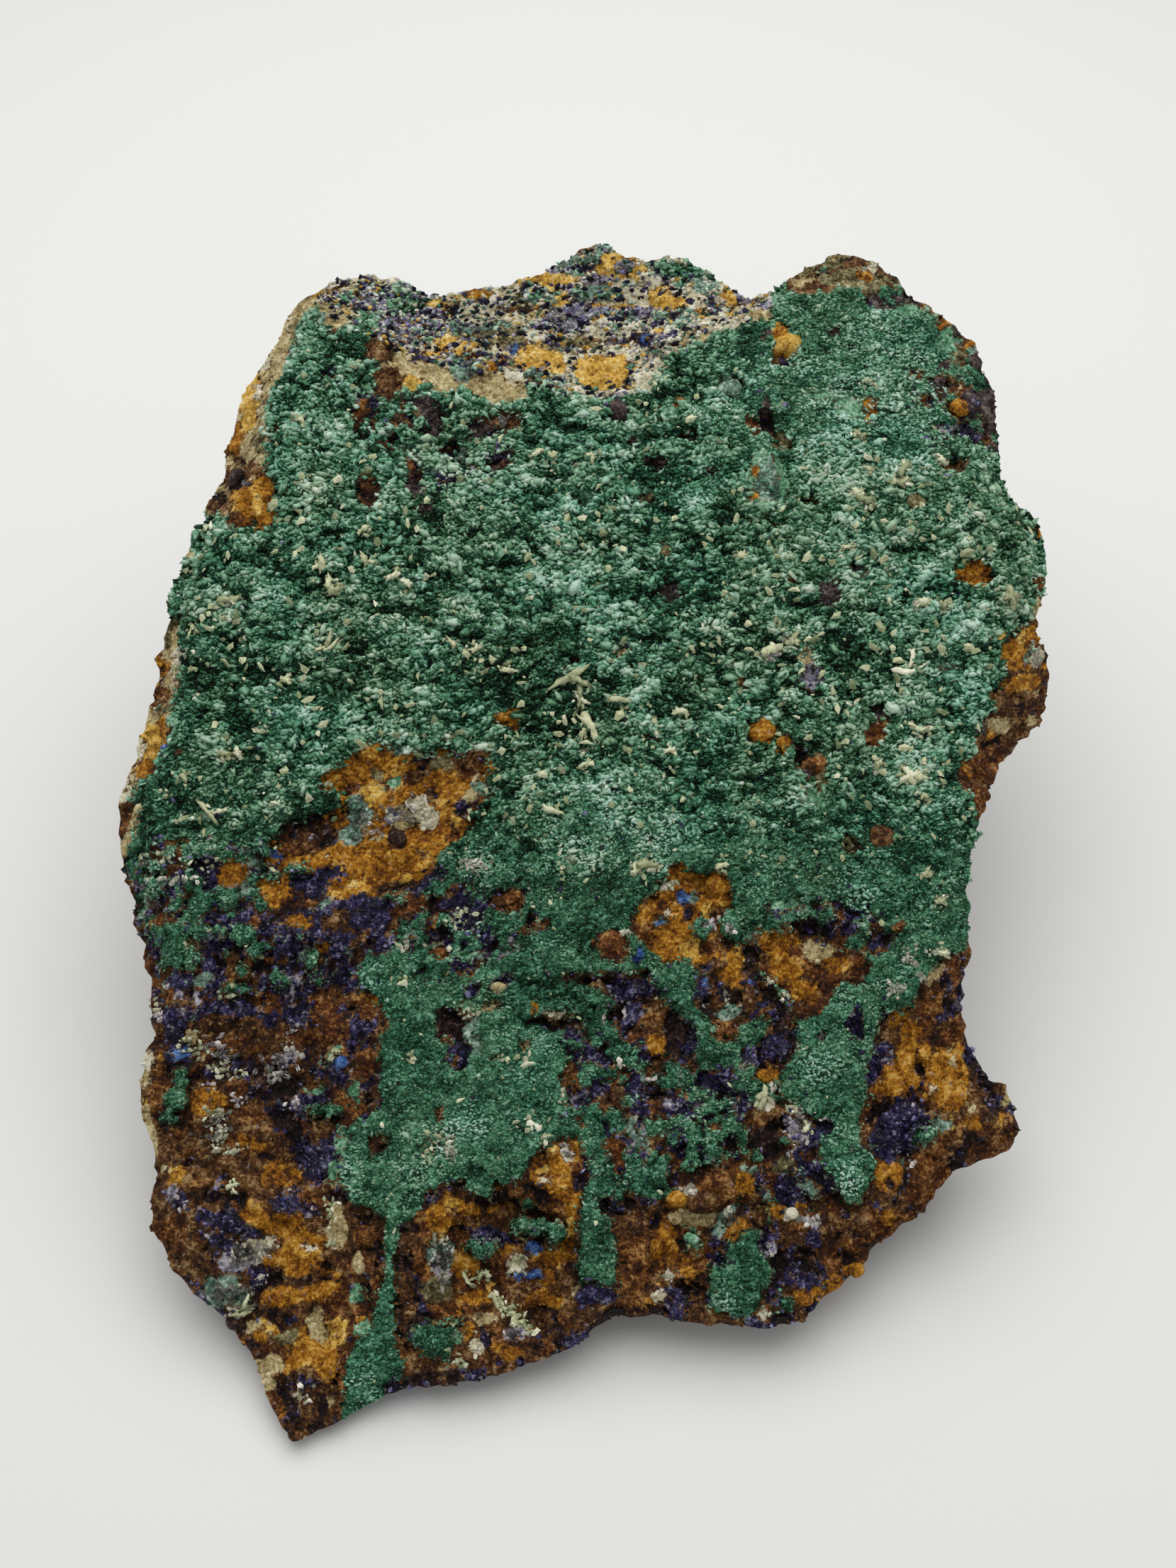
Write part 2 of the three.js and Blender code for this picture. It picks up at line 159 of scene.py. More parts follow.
# Patches of rock laid over the crust one after another, each a kind of rock and an outline of (u, v) as the
# camera sees them on the plane of the face
PATCHES = [
    ("ochre", [
        (-43, 12.5), (-41, 13.8), (-39.5, 13.5), (-36.5, 18.8), (-26, 17), (-22, 17.2), (-20, 15.5),
        (-17.5, 17.8), (-15.5, 17.5), (-14.5, 13.5), (-16, 11.5), (-14.8, 8.5), (-18.8, 5), (-17.3, 3.4),
        (-18.8, 1.2), (-23, -1), (-24, -3.5), (-27, -6.5), (-36, -8.8), (-40.5, -8.7), (-43.5, -7),
        (-49, -10), (-52.5, -7.8), (-56.5, -7), (-58.5, -4.5), (-57.5, -2.2), (-54.5, -2.6), (-51, -1.5),
        (-48.5, 3.8), (-41, 4.8), (-39, 6.5), (-40, 9.3), (-42.5, 10),
    ]),
    ("violet", [
        (-80, -19.5), (-66, -20), (-62.5, -21), (-57, -15.5), (-55, -11.5), (-45, -7.5), (-40, -8.8),
        (-27, -8), (-25.5, -9), (-29, -12), (-30.2, -17), (-34, -18), (-35.5, -20), (-34.8, -24),
        (-36.5, -25.5), (-32.3, -27.2), (-33, -29.5), (-36, -30.5), (-38, -30), (-42, -32.5), (-45, -37.5),
        (-43, -39.5), (-38.5, -39), (-37, -37), (-37.2, -34), (-35.5, -33), (-33.8, -34.5), (-32.8, -38),
        (-32.6, -42), (-34, -44.5), (-38, -45.5), (-38.5, -53), (-36, -59.5), (-31.5, -59.8), (-31, -62),
        (-31.8, -66.5), (-33.8, -68.5), (-35.2, -76.5), (-38.5, -85.5), (-37.5, -89), (-40, -98), (-55, -98),
        (-85, -70),
    ]),
    ("brown", [
        (-80, -31), (-66, -31), (-60, -29), (-53, -28), (-48, -30), (-37, -29.5), (-39, -26), (-38.5, -24),
        (-33, -24), (-30, -30), (-37, -33), (-32, -34), (-32, -43), (-39, -45), (-40, -48), (-45, -50),
        (-44, -55), (-36, -58), (-30, -59), (-30, -67), (-36, -84), (-36, -98), (-90, -98),
    ]),
    ("brown", [
        (-24.2, -57), (-22.3, -55), (-19.5, -54.3), (-16, -57), (-13.6, -56.6), (-12.8, -54.3),
        (-10.5, -54.5), (-9.3, -52), (-7, -50.3), (-6.8, -48.5), (-3, -46.3), (-1, -47.2), (4, -57),
        (6.5, -58.7), (9.5, -58.6), (17, -53.2), (24, -51.3), (24.8, -49.5), (24, -46.5), (25, -44),
        (31, -41.5), (35, -42), (37.5, -45), (37, -49), (35.5, -50.5), (38, -52), (40.3, -55), (41, -57.6),
        (43.5, -57.8), (45.7, -56), (46.1, -53), (45.6, -50.3), (43.3, -49), (44.6, -37.5), (48.7, -26),
        (51, -26.6), (53.6, -25), (54.6, -22.4), (56.7, -20.4), (61.6, -18), (62.2, -15), (70, -12),
        (90, -45), (60, -75), (40, -90), (-28, -98), (-27, -82), (-28.8, -79), (-28, -74), (-28.2, -62),
        (-24.8, -59),
    ]),
    ("crust", [
        (1, -47), (2, -53), (0, -59.5), (0, -64), (-2, -66.8), (-1, -69), (4, -70.2), (5.8, -68.5),
        (4.3, -57.5), (7, -52), (8, -47),
    ]),
    ("crust", [
        (24, -61), (28, -61), (29.5, -67), (27, -73), (25.5, -74.5), (18.7, -73), (20.5, -67.5), (22.5, -67),
    ]),
    ("dark", [
        (0, -21.8), (11, -20.3), (12, -23), (18, -29), (18.5, -32.5), (17, -35.5), (10, -36.3), (4, -27.5),
        (5, -25.5),
    ]),
    ("dark", [
        (18.5, -22), (21, -21), (25, -23.5), (28.5, -22), (31, -22.5), (34, -28.3), (33.5, -31),
        (34.5, -33.5), (31.5, -35.8), (25, -36.5), (25, -33.5), (28, -32.5), (29.3, -30), (27.5, -28.7),
        (25, -31.2), (22, -31.3), (18.8, -26),
    ]),
    ("violet", [
        (-0.5, -32.5), (4, -33), (12, -36.5), (18, -36.5), (23, -38), (28, -41), (25, -43), (14, -45),
        (8, -44), (3, -46), (-1, -44), (-2.5, -39),
    ]),
    ("dark", [
        (-23.5, -26.5), (-20.5, -26), (-19, -28), (-17, -28.5), (-17, -31.5), (-18.5, -36.5), (-20.5, -37),
        (-21.5, -35.5), (-21, -33), (-23.5, -31.5),
    ]),
    ("ochre", [
        (8, -12.5), (9.3, -9.5), (12, -8), (14, -6), (14.5, -4), (16.3, -3), (18, -4.2), (23.8, -4.3),
        (24.8, -6), (24.3, -9), (25, -10.5), (23.5, -12), (22.5, -15), (25.5, -15.5), (28, -18), (28.8, -21),
        (27, -23.5), (23, -22.7), (17, -19.8), (14, -19.5), (12.5, -17.5), (8.3, -15),
    ]),
    ("rust", [
        (29, -20.5), (29.5, -16), (31, -14), (36, -11.5), (40, -12.3), (42, -15), (45, -15.3), (47, -19),
        (46, -22), (42, -23), (38, -28), (34.5, -28.2), (31.5, -22.5),
    ]),
    ("brown", [
        (90, 40), (76.5, 39.5), (70.2, 34.3), (70.1, 30.5), (72, 29.8), (68, 26), (68.6, 24), (65.2, 18.3),
        (64.5, 15.5), (62.3, 14), (62, 11.5), (64.2, 9.5), (64.5, 5.5), (66.5, 3), (67.2, -1), (90, -6),
    ]),
    ("plum", [(69, 82), (70.5, 83), (90, 84), (90, 70), (72.5, 71), (70.3, 72.5), (69.3, 75)]),
    ("brown", [
        (57.5, 102.5), (63, 96.8), (63.3, 94.8), (66.8, 93.8), (67, 91), (65.5, 89), (65.8, 87.8),
        (67.5, 87.3), (68.8, 89.5), (69.2, 86.5), (71.5, 86), (71, 83.5), (90, 84), (90, 100), (62, 106),
    ]),
    ("olive", [(36, 101.7), (43, 101), (45, 102), (50, 101), (61, 104), (60, 120), (34, 120)]),
    ("tan", [
        (-90, 118), (-44.5, 118), (-44.8, 103), (-46, 99), (-49, 97), (-50.2, 94), (-53.8, 80), (-55.2, 68),
        (-55, 66.5), (-53, 65.5), (-53.1, 55.3), (-54.5, 55.2), (-55.5, 57), (-60.3, 57.2), (-61, 58.5),
        (-64.5, 60), (-90, 60),
    ]),
    ("tan", [
        (-90, 45), (-69.7, 44), (-68.2, 36), (-68, 30), (-68.9, 25), (-67.8, 18), (-69.6, 16.2), (-69.8, 14),
        (-71.6, 12.4), (-73.8, 7.5), (-73.5, 3.5), (-75, -4), (-90, -6),
    ]),
    ("ochre", [(-42.8, 11), (-41, 13.5), (-36, 11), (-33.5, 8.5), (-33, 3), (-35, 2), (-36, 7)]),
    ("ochre", [(-25.5, 9.5), (-24, 12), (-21, 13), (-18.5, 10.5), (-19.5, 7), (-22.5, 7.5)]),
    ("ochre", [
        (-29, 0), (-22, 5), (-19.5, 4), (-20.5, 1.5), (-23.5, -0.5), (-24.5, -3), (-27, -5.5), (-31, -5.8),
        (-33, -2.5), (-31, -0.5),
    ]),
    ("ochre", [(-39, -3), (-36, -1.8), (-33, -2.5), (-33.5, -6), (-36.5, -8), (-41, -9.3)]),
    ("ochre", [(-50.5, -12.5), (-47, -10.5), (-44.5, -11), (-43.5, -13), (-48.5, -16.5), (-50, -15)]),
    ("ochre", [
        (-51, -74.5), (-49, -73.5), (-46, -76.5), (-36, -74), (-35.5, -77), (-37.5, -83), (-39, -84),
        (-41, -82), (-44.5, -84.5), (-46, -83), (-46, -79), (-48, -78), (-50.5, -78.5),
    ]),
    ("ochre", [
        (-23.5, -57.2), (-22, -55.7), (-20, -55.2), (-16.5, -57.5), (-12, -57), (-11, -57.5), (-11, -59),
        (-18, -60), (-23.5, -59.5),
    ]),
    ("ochre", [
        (-9, -54), (-8.5, -52), (-3, -46.5), (-1, -48), (1.3, -53), (-1, -64), (-3, -65), (-2.5, -60),
        (-3.5, -57), (-8.5, -55),
    ]),
    ("ochre", [
        (49.5, -34), (53, -31), (56, -32.5), (58.5, -31.8), (61, -38.5), (61, -41.5), (59.5, -43.5),
        (56, -43), (54.5, -41.5), (54.5, -39.5), (45, -41), (45, -39.5), (48, -38.5),
    ]),
    ("violet", [
        (45, -42), (48, -40.5), (53, -40.7), (54.5, -43), (54.5, -45.5), (51, -50), (47, -51), (45, -48.5),
    ]),
    ("violet", [(46.5, -32), (50, -31.5), (48.5, -37), (46, -39), (45, -38)]),
    ("dark", [
        (-27.5, -60), (-24.6, -60.5), (-25.2, -70), (-23, -73), (-22.5, -75.5), (-25, -77), (-26.5, -80),
        (-28.5, -79), (-28.5, -68),
    ]),
    ("plum", [
        (-32, 81.5), (-27, 82), (-24, 78.5), (-19, 77), (-15.5, 79), (-11.5, 79.5), (-12, 76), (-15, 75),
        (-17, 73), (-21, 72), (-27, 73), (-30.5, 75), (-32, 79),
    ]),
    ("tan", [(-35, 91.5), (-28, 89.5), (-12, 89), (-9, 84), (-10, 80.5), (-27, 82.5), (-33, 82), (-37, 85)]),
    ("gold", [(-1, 89), (7, 89.3), (8.8, 86), (6.8, 83.6), (-1, 82.5)]),
    ("cream", [(8.3, 81.5), (12, 83), (15.5, 88), (14, 89.5), (10.5, 87), (7.5, 83)]),
    ("cream", [(13, 89), (17, 89.5), (34, 98), (33, 101), (27, 99), (13, 92)]),
    ("gold", [(11.5, 102), (14, 103), (17, 102), (19.5, 99), (18, 98), (15, 98.5), (12, 100.2)]),
    ("ochre", [(-60.3, 64.5), (-56, 66), (-53.2, 65), (-53.2, 55.4), (-55.3, 56.6), (-60.2, 57)]),
    ("ochre", [(63.7, 50.2), (70.4, 50.2), (67, 45), (64.5, 47.5)]),
    ("ochre", [(76, 38.5), (70.3, 34.2), (70.2, 30.4), (76, 31), (82, 33), (82, 39)]),
    ("crust", [
        (13, -20), (16, -20), (18, -22.5), (19, -26), (22, -31), (21.5, -33.5), (19.5, -34), (17, -27),
        (12, -22.5),
    ]),
    ("mint", [(30, 71), (34, 70.5), (36, 65), (35.5, 61), (31, 59.3), (29, 62), (28.8, 67)]),
    ("dark", [
        (-30, -98), (-29, -83.6), (-18, -82.2), (-10, -80), (-2, -77.2), (5, -73.4), (12, -72.8), (22, -73.8),
        (32, -73.8), (39, -69), (60, -90),
    ]),
]
# Spots laid over the patches one after another, each as (u, v, half across, half along, turn in degrees)
SPOTS = [
    ("brown", [
        (-27, 12, 2.5, 1.5), (-17, 15.5, 1, 2.2), (-37, 64, 1.6, 4), (36, 104.5, 1, 1.4), (57, 51, 1, 0.7),
        (-57, -30, 4, 3), (-58, -52, 3, 2), (-43, -61.5, 4, 2.6), (-37, -64, 2, 4), (-34, 84, 2.6, 3.4),
        (4.6, 76.4, 1.8, 1), (-13.5, 76.5, 3.4, 2), (-70, -36, 2, 5, 5),
        (67.5, 92, 1.2, 1.6), (-53, -52, 3, 2), (-64, -63, 4, 4), (-36.3, 90.3, 3, 2.2, -30),
        (-62.6, 60.6, 2, 1.5),
    ]),
    ("rust", [
        (-48, 2, 2.6, 1.2), (-46, -0.8, 3, 0.9), (-29, -11, 4, 1.3, 20), (-27, -9, 2, 1.5), (-45, -9, 3, 1.2),
        (-40.5, -27, 2.8, 3.8), (-50.5, -26, 3, 1.8), (-42.5, -31, 4, 1.8), (-55, -33, 5, 2.6),
        (-37.5, -42, 3.2, 3), (-35, -35.5, 1.6, 2.5), (-34, -28, 1.8, 1.3, 30), (-63.5, -47, 1.5, 1),
        (-64, -62, 3, 3), (-43.5, -56.5, 2.5, 1.2), (-33.5, -62, 1.4, 1.6), (-34, -66.5, 1.6, 1.8),
        (5, -16.5, 2.8, 2.5), (22, -16.5, 3, 1.5), (11, -28.5, 1.6, 0.9), (8, -31.5, 0.8, 0.8),
        (24, -30.5, 3, 1), (8, -66, 3, 4.5), (54.5, -53, 3.6, 2.6, 30), (30, -54, 1, 3), (-12, -9.3, 2.6, 2),
        (-23, -18, 1.6, 1.1), (-11, 20.8, 1, 1), (49, 20, 1.9, 3.6, -10), (39, 14.3, 2, 1.7),
        (51.5, -13, 0.9, 0.9), (-0.5, -38.5, 1, 1.5), (-70.5, 26.8, 2, 1.3), (-71.7, 24.5, 1.4, 1),
        (-76, 3.8, 1.5, 2.6), (-66.5, 16.3, 1, 0.8), (60.5, 99.3, 0.9, 2.6, 45), (67.8, 83, 1.4, 0.8),
        (-53.3, 75, 0.6, 2), (16.8, 80, 1.3, 1.1), (29.7, 75.6, 1.3, 2.6),
        (36, 47, 1, 1), (27.5, 28.5, 1.4, 1.4), (77.7, 46.3, 1.3, 2), (34, 57, 1.2, 1), (8, 33.5, 1.2, 1.2),
        (-19, 12.5, 1.5, 1.5), (-71, -22, 2, 6), (-52, -47.5, 5, 2.6), (22, -56, 5, 3),
        (36, -66, 5, 3), (-47, -80, 2.4, 2), (-11, -66, 4, 3.4), (-18, -64, 3, 3), (69, -46, 2.8, 2.6),
        (63.3, 12.7, 1.3, 1.6), (67.5, 14, 3, 3.2), (66, 7.5, 1.8, 2.6), (62.8, 81.8, 1.2, 0.8),
        (-59.6, 58.4, 1.8, 0.7), (-40.5, -89.5, 1.4, 1.4),
    ]),
    ("olive", [
        (-14.9, 92.8, 5, 2.2), (-11.7, 99.3, 3, 2), (-52, 92.4, 1.6, 2), (-56, 72, 1.4, 2.4),
        (-70.5, 37, 1.5, 3.5), (-33.5, 12.5, 1.2, 1.2), (-23, 14.5, 2.4, 1.8), (46.5, 105, 4, 2),
        (34.7, 72.3, 2, 1.6), (-45, -77.5, 2.4, 1), (57.7, 61.5, 1.7, 1.3), (66.4, 88.7, 1.6, 1.3),
        (-62.2, -17, 1.8, 1.2), (31.5, -51.5, 1.6, 1.2), (-22, -70.5, 2.4, 2.2), (13, -6, 1, 1),
        (44, 0.5, 2, 1), (-22, 19, 1, 0.8), (14, 51.8, 1.6, 1.6), (-2, 91.3, 6, 1.2), (11, 62, 1.4, 1),
        (39.5, 13, 1.6, 3.4),
    ]),
    ("tan", [
        (-54.5, 92, 2.4, 5, 10), (-36, 5, 1.6, 2), (-29, 5, 2.4, 2.4), (39.8, 104, 2.8, 1.2, 15),
        (-44.5, 98.8, 2.6, 1.4, 40), (-43, 96.8, 3.2, 1.8), (-7.2, 96.8, 4, 1.8),
        (-22.5, 100.8, 3, 0.9, 15), (31.7, 96.8, 2.2, 1.4), (-24.6, 84.6, 3, 3), (-15.7, 83.5, 5, 4),
        (-68, -46, 1, 4, 15), (-69.3, -37, 1, 3), (-41, -63, 3, 1.6), (18, -59.5, 4, 1.6),
        (69, 20.5, 3.4, 1.6, 30), (78, 42, 1.2, 2), (-14.5, -26, 1.6, 0.7), (-8.5, -32.5, 1, 1),
        (57, -21, 2, 0.8, 40), (38.5, -17, 2.6, 1.6), (-47, -81, 1.6, 1.6), (67, -41.5, 1.2, 1.6),
        (-62.5, -31.5, 1.8, 1.4), (2.4, 46, 1, 0.7), (66, 83.8, 1.4, 1), (-67, 51.3, 1, 1),
        (-73.2, 6, 0.9, 1), (-18, 8.5, 1.6, 1.5), (-4.3, 42, 1, 0.7), (20, 93, 4, 1.4, 30),
        (28, 97.5, 3, 1.4, 30), (-38, -60.5, 1.6, 3.4), (-8.5, -61.6, 2, 0.8), (-14.5, -74.6, 2, 1),
        (-48.5, -83.5, 2, 2.4, 20), (-50, -76, 2, 1.2, 30), (-40.5, -76, 1.2, 3),
    ]),
    ("ochre", [
        (-34.5, -1.2, 1.4, 1.3), (-33.5, 16, 1.4, 1.1), (-42, -16.3, 1.6, 1.2), (-57, -4.5, 2.4, 2.2),
        (-51, -6.8, 2, 1.8), (-59, -41.5, 3.4, 2.4), (-51.5, -47.5, 3.6, 1.8), (-47.5, -52.8, 3, 2.2),
        (-51, -59, 4.4, 1.3, -45), (-44, -66, 4, 1.8), (-45, -88.5, 1.2, 1), (-11.5, -64, 1.5, 1.5),
        (-5, -65.5, 3.5, 1.2), (-2.5, -64.5, 1.5, 1.5), (-5.5, -71.8, 3, 1.6), (-17.5, -76.5, 1.6, 1.6),
        (-11, -79.5, 2, 1), (15, -57, 1.6, 1.5), (13, -63.5, 1.8, 3.4), (16.5, -66.8, 1.2, 1.5),
        (26, -54, 2, 2), (32, -58, 3, 1.6), (42, -67.5, 1.3, 1.2), (34, -71.5, 1.3, 1.2), (48, -53, 2.8, 2.4),
        (47.7, -59.5, 1.2, 2, 20), (50.5, -27.8, 2, 1.2), (52.5, -30.5, 1.6, 1.2), (62, -45, 1.5, 1),
        (22, -7, 2, 2.5), (31, -17, 2, 3), (33.5, -20.5, 3, 2.4), (41.5, -19.5, 2.2, 1.6), (36, -24, 2, 1.4),
        (29.5, -37.5, 1.8, 1.3), (12.5, -33, 1.5, 1.4), (25, -21.5, 2, 1.5), (-7.7, -26.7, 1, 1),
        (29.8, 19.5, 2.6, 2.6), (33.5, 17.5, 1.5, 1.3), (-12.5, 22.3, 2.8, 1.4), (14.5, 51.8, 0.9, 0.9),
        (-69.8, 20.5, 1, 2.3), (-72.5, 13.5, 1.8, 1.2), (-61.7, 65, 1.4, 1.2), (-60.5, 73.5, 1.2, 3.4),
        (-70.5, 31.5, 1.4, 1.4), (66.2, 79, 1.8, 1.7), (50.3, 78.3, 1.1, 2.6), (63.8, 95.4, 1.1, 0.8),
        (68.2, 91, 1, 1.6), (50.5, 104.8, 1.6, 1.5), (-15, 87.3, 2, 1), (35.6, 94, 1.6, 1.5),
        (35.9, 91.2, 2.4, 2.2), (30, 67.5, 0.8, 1), (30.5, 62.5, 0.9, 0.9), (74, 28.5, 3, 1.8, 20),
        (63.5, 12.6, 0.8, 1), (78.3, 56.5, 0.9, 1.5), (60.5, -33, 0.9, 0.8), (-18, 101.7, 2.5, 1.2),
        (68.3, 18.8, 1.2, 1), (38, -70, 3, 1.4, 30), (-56.6, 62.6, 3.2, 3.4, -20),
        (-55, 58.4, 1.9, 2.6, 15), (67.2, 47.6, 3.2, 2.6), (-43, -64, 3.4, 2.2, 20), (-46, -60, 3, 2.4),
        (-40, -70, 3.4, 2.4, 30), (-45, -71.4, 4, 1.8, 5), (-52, -66, 4, 1, 10), (-18.5, -67, 3, 2),
        (-16, -71.5, 2.6, 1.4), (-6, -68.4, 2, 1.2), (-22, -60, 2.6, 1.6), (-42, -80, 2.4, 3, 20),
        (-53, -79, 2, 1.6), (24, -61, 2, 1.4),
    ]),
    # Some of these are painted shadow lines under edges of crust, plates and the chip: those at (-30.5,
    # -6.8), (-23.5, -56.5), (-20, -54.7), (-15.5, -56.9), (1.5, -22.1), (-5, -29), (-12, 98.2), (4, 92.6) and
    # (30.4, 58.6).
    ("dark", [
        (-48, 3.4, 1.6, 0.9), (-44, 2.6, 3.5, 1.7), (-43.5, 0.8, 3, 1.4), (-44.5, -0.5, 1.5, 1),
        (-30.5, 1.6, 1.8, 1.8), (-24.8, 8.5, 1.2, 0.8), (-17, 6, 1.6, 0.9), (-19.5, 15, 1.8, 1.6),
        (-30.5, -6.8, 3.2, 1.1, 8), (-33.5, -13, 4, 2.4), (-64, -35, 2, 3), (-49, -41, 4, 3),
        (-53, -36, 4, 2), (-44, -47, 4, 2), (-46.5, -49, 3, 1.4), (-60.5, -50, 3, 1.6), (-58, -67, 3, 3.4),
        (-41, -68.7, 3.6, 0.5), (-40, -91, 1.4, 1.6), (-54, -76, 1.6, 1), (-33.5, -60, 2.6, 0.8),
        (-23.5, -56.5, 0.9, 1.4, -40), (-20, -54.7, 2.6, 0.7), (-15.5, -56.9, 2.6, 0.6),
        (-8.6, -56, 3.4, 2), (-4, -75, 3.6, 1.8), (-12.8, -55.3, 0.8, 1.2), (-2.2, -38, 1.2, 1.6),
        (4.7, -58, 1.2, 1.5), (8, -57.5, 3, 1.6), (16, -71, 3, 2), (33.5, -67, 4.4, 3), (27.5, -57, 0.6, 3),
        (29, -48, 3, 2.4), (30, -44, 3.4, 2), (48, -54, 0.9, 0.9), (65, -41, 1.6, 2.4, 15),
        (58, -27, 1.8, 3), (63.5, -35, 2, 2), (54, -36.5, 0.8, 1.6), (61, -48, 3, 1.8), (41.5, -61, 2.6, 2),
        (27.5, -19, 1.6, 3), (23, -11, 1.8, 1), (22, -20, 2, 1), (37, -13.5, 3, 1.4),
        (1.5, -22.1, 5.5, 0.7), (-5, -29, 3.8, 0.85), (48, -16.5, 2.5, 1.4), (48.5, -14.6, 3.5, 0.4),
        (-12, -8, 2.2, 1.1), (-6.5, -12.5, 1.7, 1.2), (-32, -48, 1.4, 1.8), (-22, -43.5, 1.1, 0.9),
        (-12, 98.2, 3.6, 0.5), (4, 92.6, 3.8, 0.4), (35, 88, 2.4, 0.9), (-57.6, 68.2, 3, 0.8, -25),
        (-60, 65.4, 2.8, 1.9, -15), (-63, 61.5, 1.8, 1.6), (-76.6, 5.6, 1, 1.4), (-75.4, -4, 0.8, 4, 12),
        (-73, -12, 0.8, 4, 20), (75, 24.8, 1.8, 0.9), (30.4, 58.6, 2.6, 1), (40, 61.5, 1.6, 1),
        (-45, -75.5, 1.4, 0.8), (15.8, -53.6, 3, 0.4, 20), (-42, -86, 3.4, 4.4, 20), (-46, -38, 6, 2.6),
        (-42, -44, 4, 3), (-49, -46, 5, 1.4), (-60, -37, 4, 1.6), (-66, -30, 3, 2), (-57, -57, 5, 2),
        (-46, -50, 4, 1.2),
    ]),
    ("plum", [
        (-29, 64, 2, 2.4), (-27, 60, 1.4, 1.2), (6.2, 78.3, 1.8, 2.5), (18.7, 73.6, 1.9, 1.4),
        (9, 72.4, 1.4, 1.6), (12.5, 68.5, 2.2, 1.8), (22.5, 67, 1.2, 1), (31.9, 79.6, 0.9, 2.5),
        (52.6, 99.4, 2.4, 1.7, -25), (55.6, 99.4, 1.5, 1.8, 25), (63.8, 87, 1.5, 1.2),
        (70.3, 87.8, 1.2, 1.3), (64, 84, 2.6, 1.1), (66.8, 94.5, 1.9, 0.9, -45), (55.5, 106.5, 2.4, 1.2),
        (42.5, 106.8, 1.6, 0.9), (44.8, 93.8, 1.3, 0.9), (14.5, 44.5, 3.2, 1.6, 10), (42.5, 44.5, 2.2, 3),
        (47.5, 49, 1.4, 1.2), (-1.5, 32, 2, 0.9, 20), (11, 18.8, 1.2, 1), (36.5, 16.5, 1.8, 1.6),
        (37.5, 12.5, 1.4, 1.1), (49, 23.8, 1.8, 1.2), (-43.6, 94.5, 1.6, 0.7), (14.2, 101.4, 0.6, 0.6),
        (33, 92.6, 1.6, 1.6), (50.8, 80.4, 0.8, 0.6), (67, 20, 1.2, 0.8), (13.5, 80.4, 1, 0.8),
        (32.4, 77, 1.5, 3.6), (59, 100.5, 2, 3.2, -50), (68.5, 80, 2, 3),
    ]),
    ("violet", [
        (-41.5, -4.8, 1.8, 1.3), (-36, -9.5, 1.2, 1), (-33, -9.6, 1.6, 0.8), (-36, -12, 2, 2),
        (-43, -7, 2, 1), (-46, -6.2, 2.2, 1.4), (-19.5, 6.3, 1.5, 1.2), (-26.5, 15.3, 1.5, 0.9),
        (-26, -6, 2.5, 0.9, 25), (-23.8, -4.5, 1.2, 1, 40), (-59, -16.5, 2.4, 1.2), (-65, -28, 3, 1.2),
        (-57, -26.5, 5, 0.9), (-42.5, -41, 2.5, 1.9), (-41, -50.5, 3.6, 2.4), (-37.5, -47.5, 1.4, 1.6),
        (-36.2, -32, 0.8, 2.6), (-46, -57.5, 2.4, 1.4), (-42.3, -58.5, 1, 0.8), (-63, -56.5, 1, 1.6),
        (-56, -60, 4.4, 1.6, -10), (-52.5, -62, 3, 0.9, -20), (-56, -63.5, 2, 1), (-44.5, -75, 1.4, 0.8),
        (-13.8, -62.3, 4, 1.2, -8), (2.5, -71, 3, 1.5), (11, -57.3, 1.6, 0.8), (29, -63, 1.4, 2),
        (21.5, -65.5, 1.5, 1), (32, -55.5, 2, 2), (37, -52.5, 2.6, 0.8, -30), (36, -62.5, 1.7, 1.6),
        (29.5, -71.2, 1.6, 1.2), (19.3, -23, 1, 1.5), (8, -23.5, 3.4, 1.8), (31, -33, 2.4, 2.2),
        (27.3, -23, 1, 0.9), (1.5, -34, 1.5, 1.2), (38.5, -45.5, 1, 1.5), (17, -11, 0.8, 1),
        (-12.5, -22, 2, 1), (-17.5, -23, 1.2, 0.9), (-38.3, 102.3, 1.8, 1.3), (-34.6, 101.5, 1, 1.1),
        (-38.7, 98.2, 1.8, 1), (-33.6, 96.8, 1.4, 1), (-28.2, 88.9, 1.9, 0.6), (-24.3, 89.6, 1.2, 0.5),
        (11.5, 92.2, 1.6, 1.6), (16, 97.6, 1, 0.6), (12.8, 98.4, 1.4, 0.5), (1, 106.8, 1.4, 1),
        (15.3, 103.8, 1, 0.6), (0, 90.4, 0.5, 0.5), (2.4, 90.2, 0.4, 0.5), (5, 91.2, 0.5, 1),
        (68.8, 80, 1.2, 1.2), (36, -47, 2, 1.6), (44, -29, 1.2, 2.4), (66.4, 19.5, 1, 0.8),
        (50.5, -46, 4.2, 4), (15, -42.5, 2.6, 1.8), (-9, 102, 2.4, 1.2), (24, 98.5, 1.2, 0.7),
        (-25, 96.6, 1.6, 0.7, -30), (-21, 95, 1.4, 0.7, -30), (-26, 92.6, 1.2, 0.7, -20),
    ]),
    ("crust", [
        (-66, -15, 3, 2.6), (-55, -14.5, 2.4, 2), (-63, -18.5, 2, 1.2), (-55, -23.5, 2, 0.8),
        (-52, -17.5, 1.6, 1), (-64.5, -41, 1.6, 1.8), (-64.8, -44, 1.6, 1.3), (-63.3, -37.6, 1, 1.8),
        (-36, -39.7, 1.1, 2), (-40.5, -43.2, 3, 0.8), (-37, -49.5, 1.6, 1.4), (-7.5, -60.5, 3.4, 1.2),
        (-4, -61.5, 1.1, 1.7), (-15.5, -63.8, 2.6, 1.2), (-8, -57.8, 0.9, 0.7), (-23, -77.5, 3.2, 1.8),
        (-20, -76.5, 1.1, 2.2, -15), (-22, -80, 2, 1), (17, -63.2, 1.3, 1.2), (54.2, -46.8, 1.2, 1.6),
        (31, -72.4, 1.4, 1), (4, -37, 2, 1.1), (13, -38.3, 2.4, 0.9), (21, -36, 2.4, 1.1),
